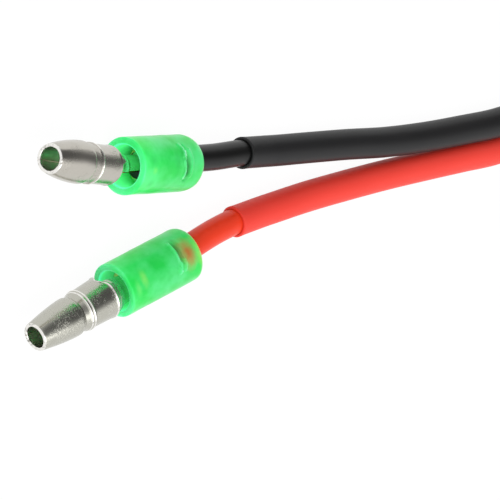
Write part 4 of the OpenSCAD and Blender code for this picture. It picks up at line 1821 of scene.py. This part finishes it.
RED_END = LeadEnd(
    colour=LeadColour.RED, mouth=(75.6, 55.05, 2.75), yaw=15.0, pitch=0.0, bullet_yaw=14.0,
    bullet_pitch=4.0, roll=16.0, pull=0.0, exit=(0.0, -0.2, -0.2), side=-1,
    forming=Forming(
        plate=SCUFFED_TIN, barrel_d=4.15, groove_d=3.58, head_d=3.95, head_fullness=1.55, spring=0.05,
        round_from=4.85, groove_at=5.75, fullness=1.25, ridge_h=0.06, bend=1.65, step=0.08, flare=0.07,
        flare_w=0.18, rear=-2.65, front=-0.6, wrap=165, bell=1.6, turn=-15, reach=85, relief=0.75),
    rear_len=1.1, front_len=0.19, slant=0.16, inside_painted_glow=0.45,
    creases=(
        Crease(((-6.2, 78), (-6.3, 55), (-6.2, 34)), 0.24, 0.11),
        Crease(((-6.35, 30), (-6.25, 20), (-6.05, 12)), 0.28, 0.15),
        Crease(((-6.0, 24), (-6.1, 16)), 0.16, 0.1),
        Crease(((-6.75, 72), (-6.75, 50), (-6.7, 34)), -0.26, 0.2),
        Crease(((-6.95, 34), (-7.0, 24), (-6.7, 12)), 0.22, 0.11),
        Crease(((-1.4, 50), (-1.7, 42)), 0.1, 0.2)),
    # Marks: the dark olive one at -6.8 is painted shade in the furrow, and partly the crimp's end seen
    # through the wall; the lime one at -9.1 is a painted highlight on the round rear; the pale ones at -1.75
    # and -0.8 are painted highlights of the metal inside; the orange one is the red wire seen through the
    # wall, and the one at -3.6 shows the crimp
    marks=(
        Mark(-6.8, 56, 0.7, 1.8, "4a7a18", 0.85), Mark(-7.6, 42, 1.3, 2.5, "cc4c20", 0.95),
        Mark(-9.1, 36, 0.9, 3.2, "b8f060", 0.85), Mark(-1.75, 38, 0.6, 1.3, "b0f070", 0.5),
        Mark(-0.8, 24, 0.5, 1.2, "90f080", 0.4), Mark(-3.6, 48, 1.5, 1.4, "18b846", 0.2)))


def rise(x: float) -> list[Point]:
    """Gives the last stretch of a route, which rises to the wire's bared rear end."""
    return [(x, 30, 1.75), (x, 26, 3), (x, 22, 5.1), (x, 18.5, 6.7), (x, 16.5, 7), (x, 15.5, 7)]


# Routes of the two leads on the surface, from the sleeves to the solder tags
BLACK_RUN = [
    (64.9, 42.95, 2.15), (60.7, 43.4, 1.75), (57, 43.9, LAY_H), (51, 44.5, LAY_H), (45, 45.1, LAY_H),
    (39, 45.8, LAY_H), (33, 46.2, LAY_H), (27, 46.35, LAY_H), (21, 46.35, LAY_H), (13, 45, LAY_H),
    (7, 41, LAY_H), (3, 35, LAY_H), *rise(TAG_X)]
RED_RUN = [
    (62.5, 51.4, 2.15), (59.7, 51.05, 1.8), (55, 50.7, LAY_H), (49.5, 50.2, LAY_H), (43.7, 49.9, LAY_H),
    (37.8, 49.7, LAY_H), (31.7, 49.65, LAY_H), (26, 49.65, LAY_H), (20.7, 49.65, LAY_H), (11.7, 48, LAY_H),
    (4.7, 43.3, LAY_H), (0, 36.3, LAY_H), *rise(-TAG_X)]


def build_lead(end: LeadEnd, run: Sequence[Point], socket: ChargingSocket) -> None:
    """Args:
        end: How its terminal's end lies.
        run: The route of the lead on the surface.
        socket: The socket that it is soldered to.
    """
    lead = Lead(end, run)
    wire = lead.build_wire()
    tube = lead.build_tube()
    bullet = BulletTerminal(end).build()
    sleeve = TerminalSleeve(end).build()
    strands = lead.build_strands()
    lead.build_tail(socket.place())
    line = lead.wire_line()
    line.distances()[-1] * MM


def main() -> None:
    """Builds every piece in order."""
    logging.basicConfig(level=logging.INFO, format="%(name)s %(message)s")
    bpy.context.scene.view_settings.view_transform = "Standard"
    studio = Studio()
    studio.build_camera()
    socket = ChargingSocket()
    build_lead(BLACK_END, BLACK_RUN, socket)
    build_lead(RED_END, RED_RUN, socket)
    socket.build_bush()
    socket.build_gasket()
    socket.dress_kept()
    studio.build_floor()
    studio.build_sky()
    studio.build_lamp()


if __name__ == "__main__":
    main()
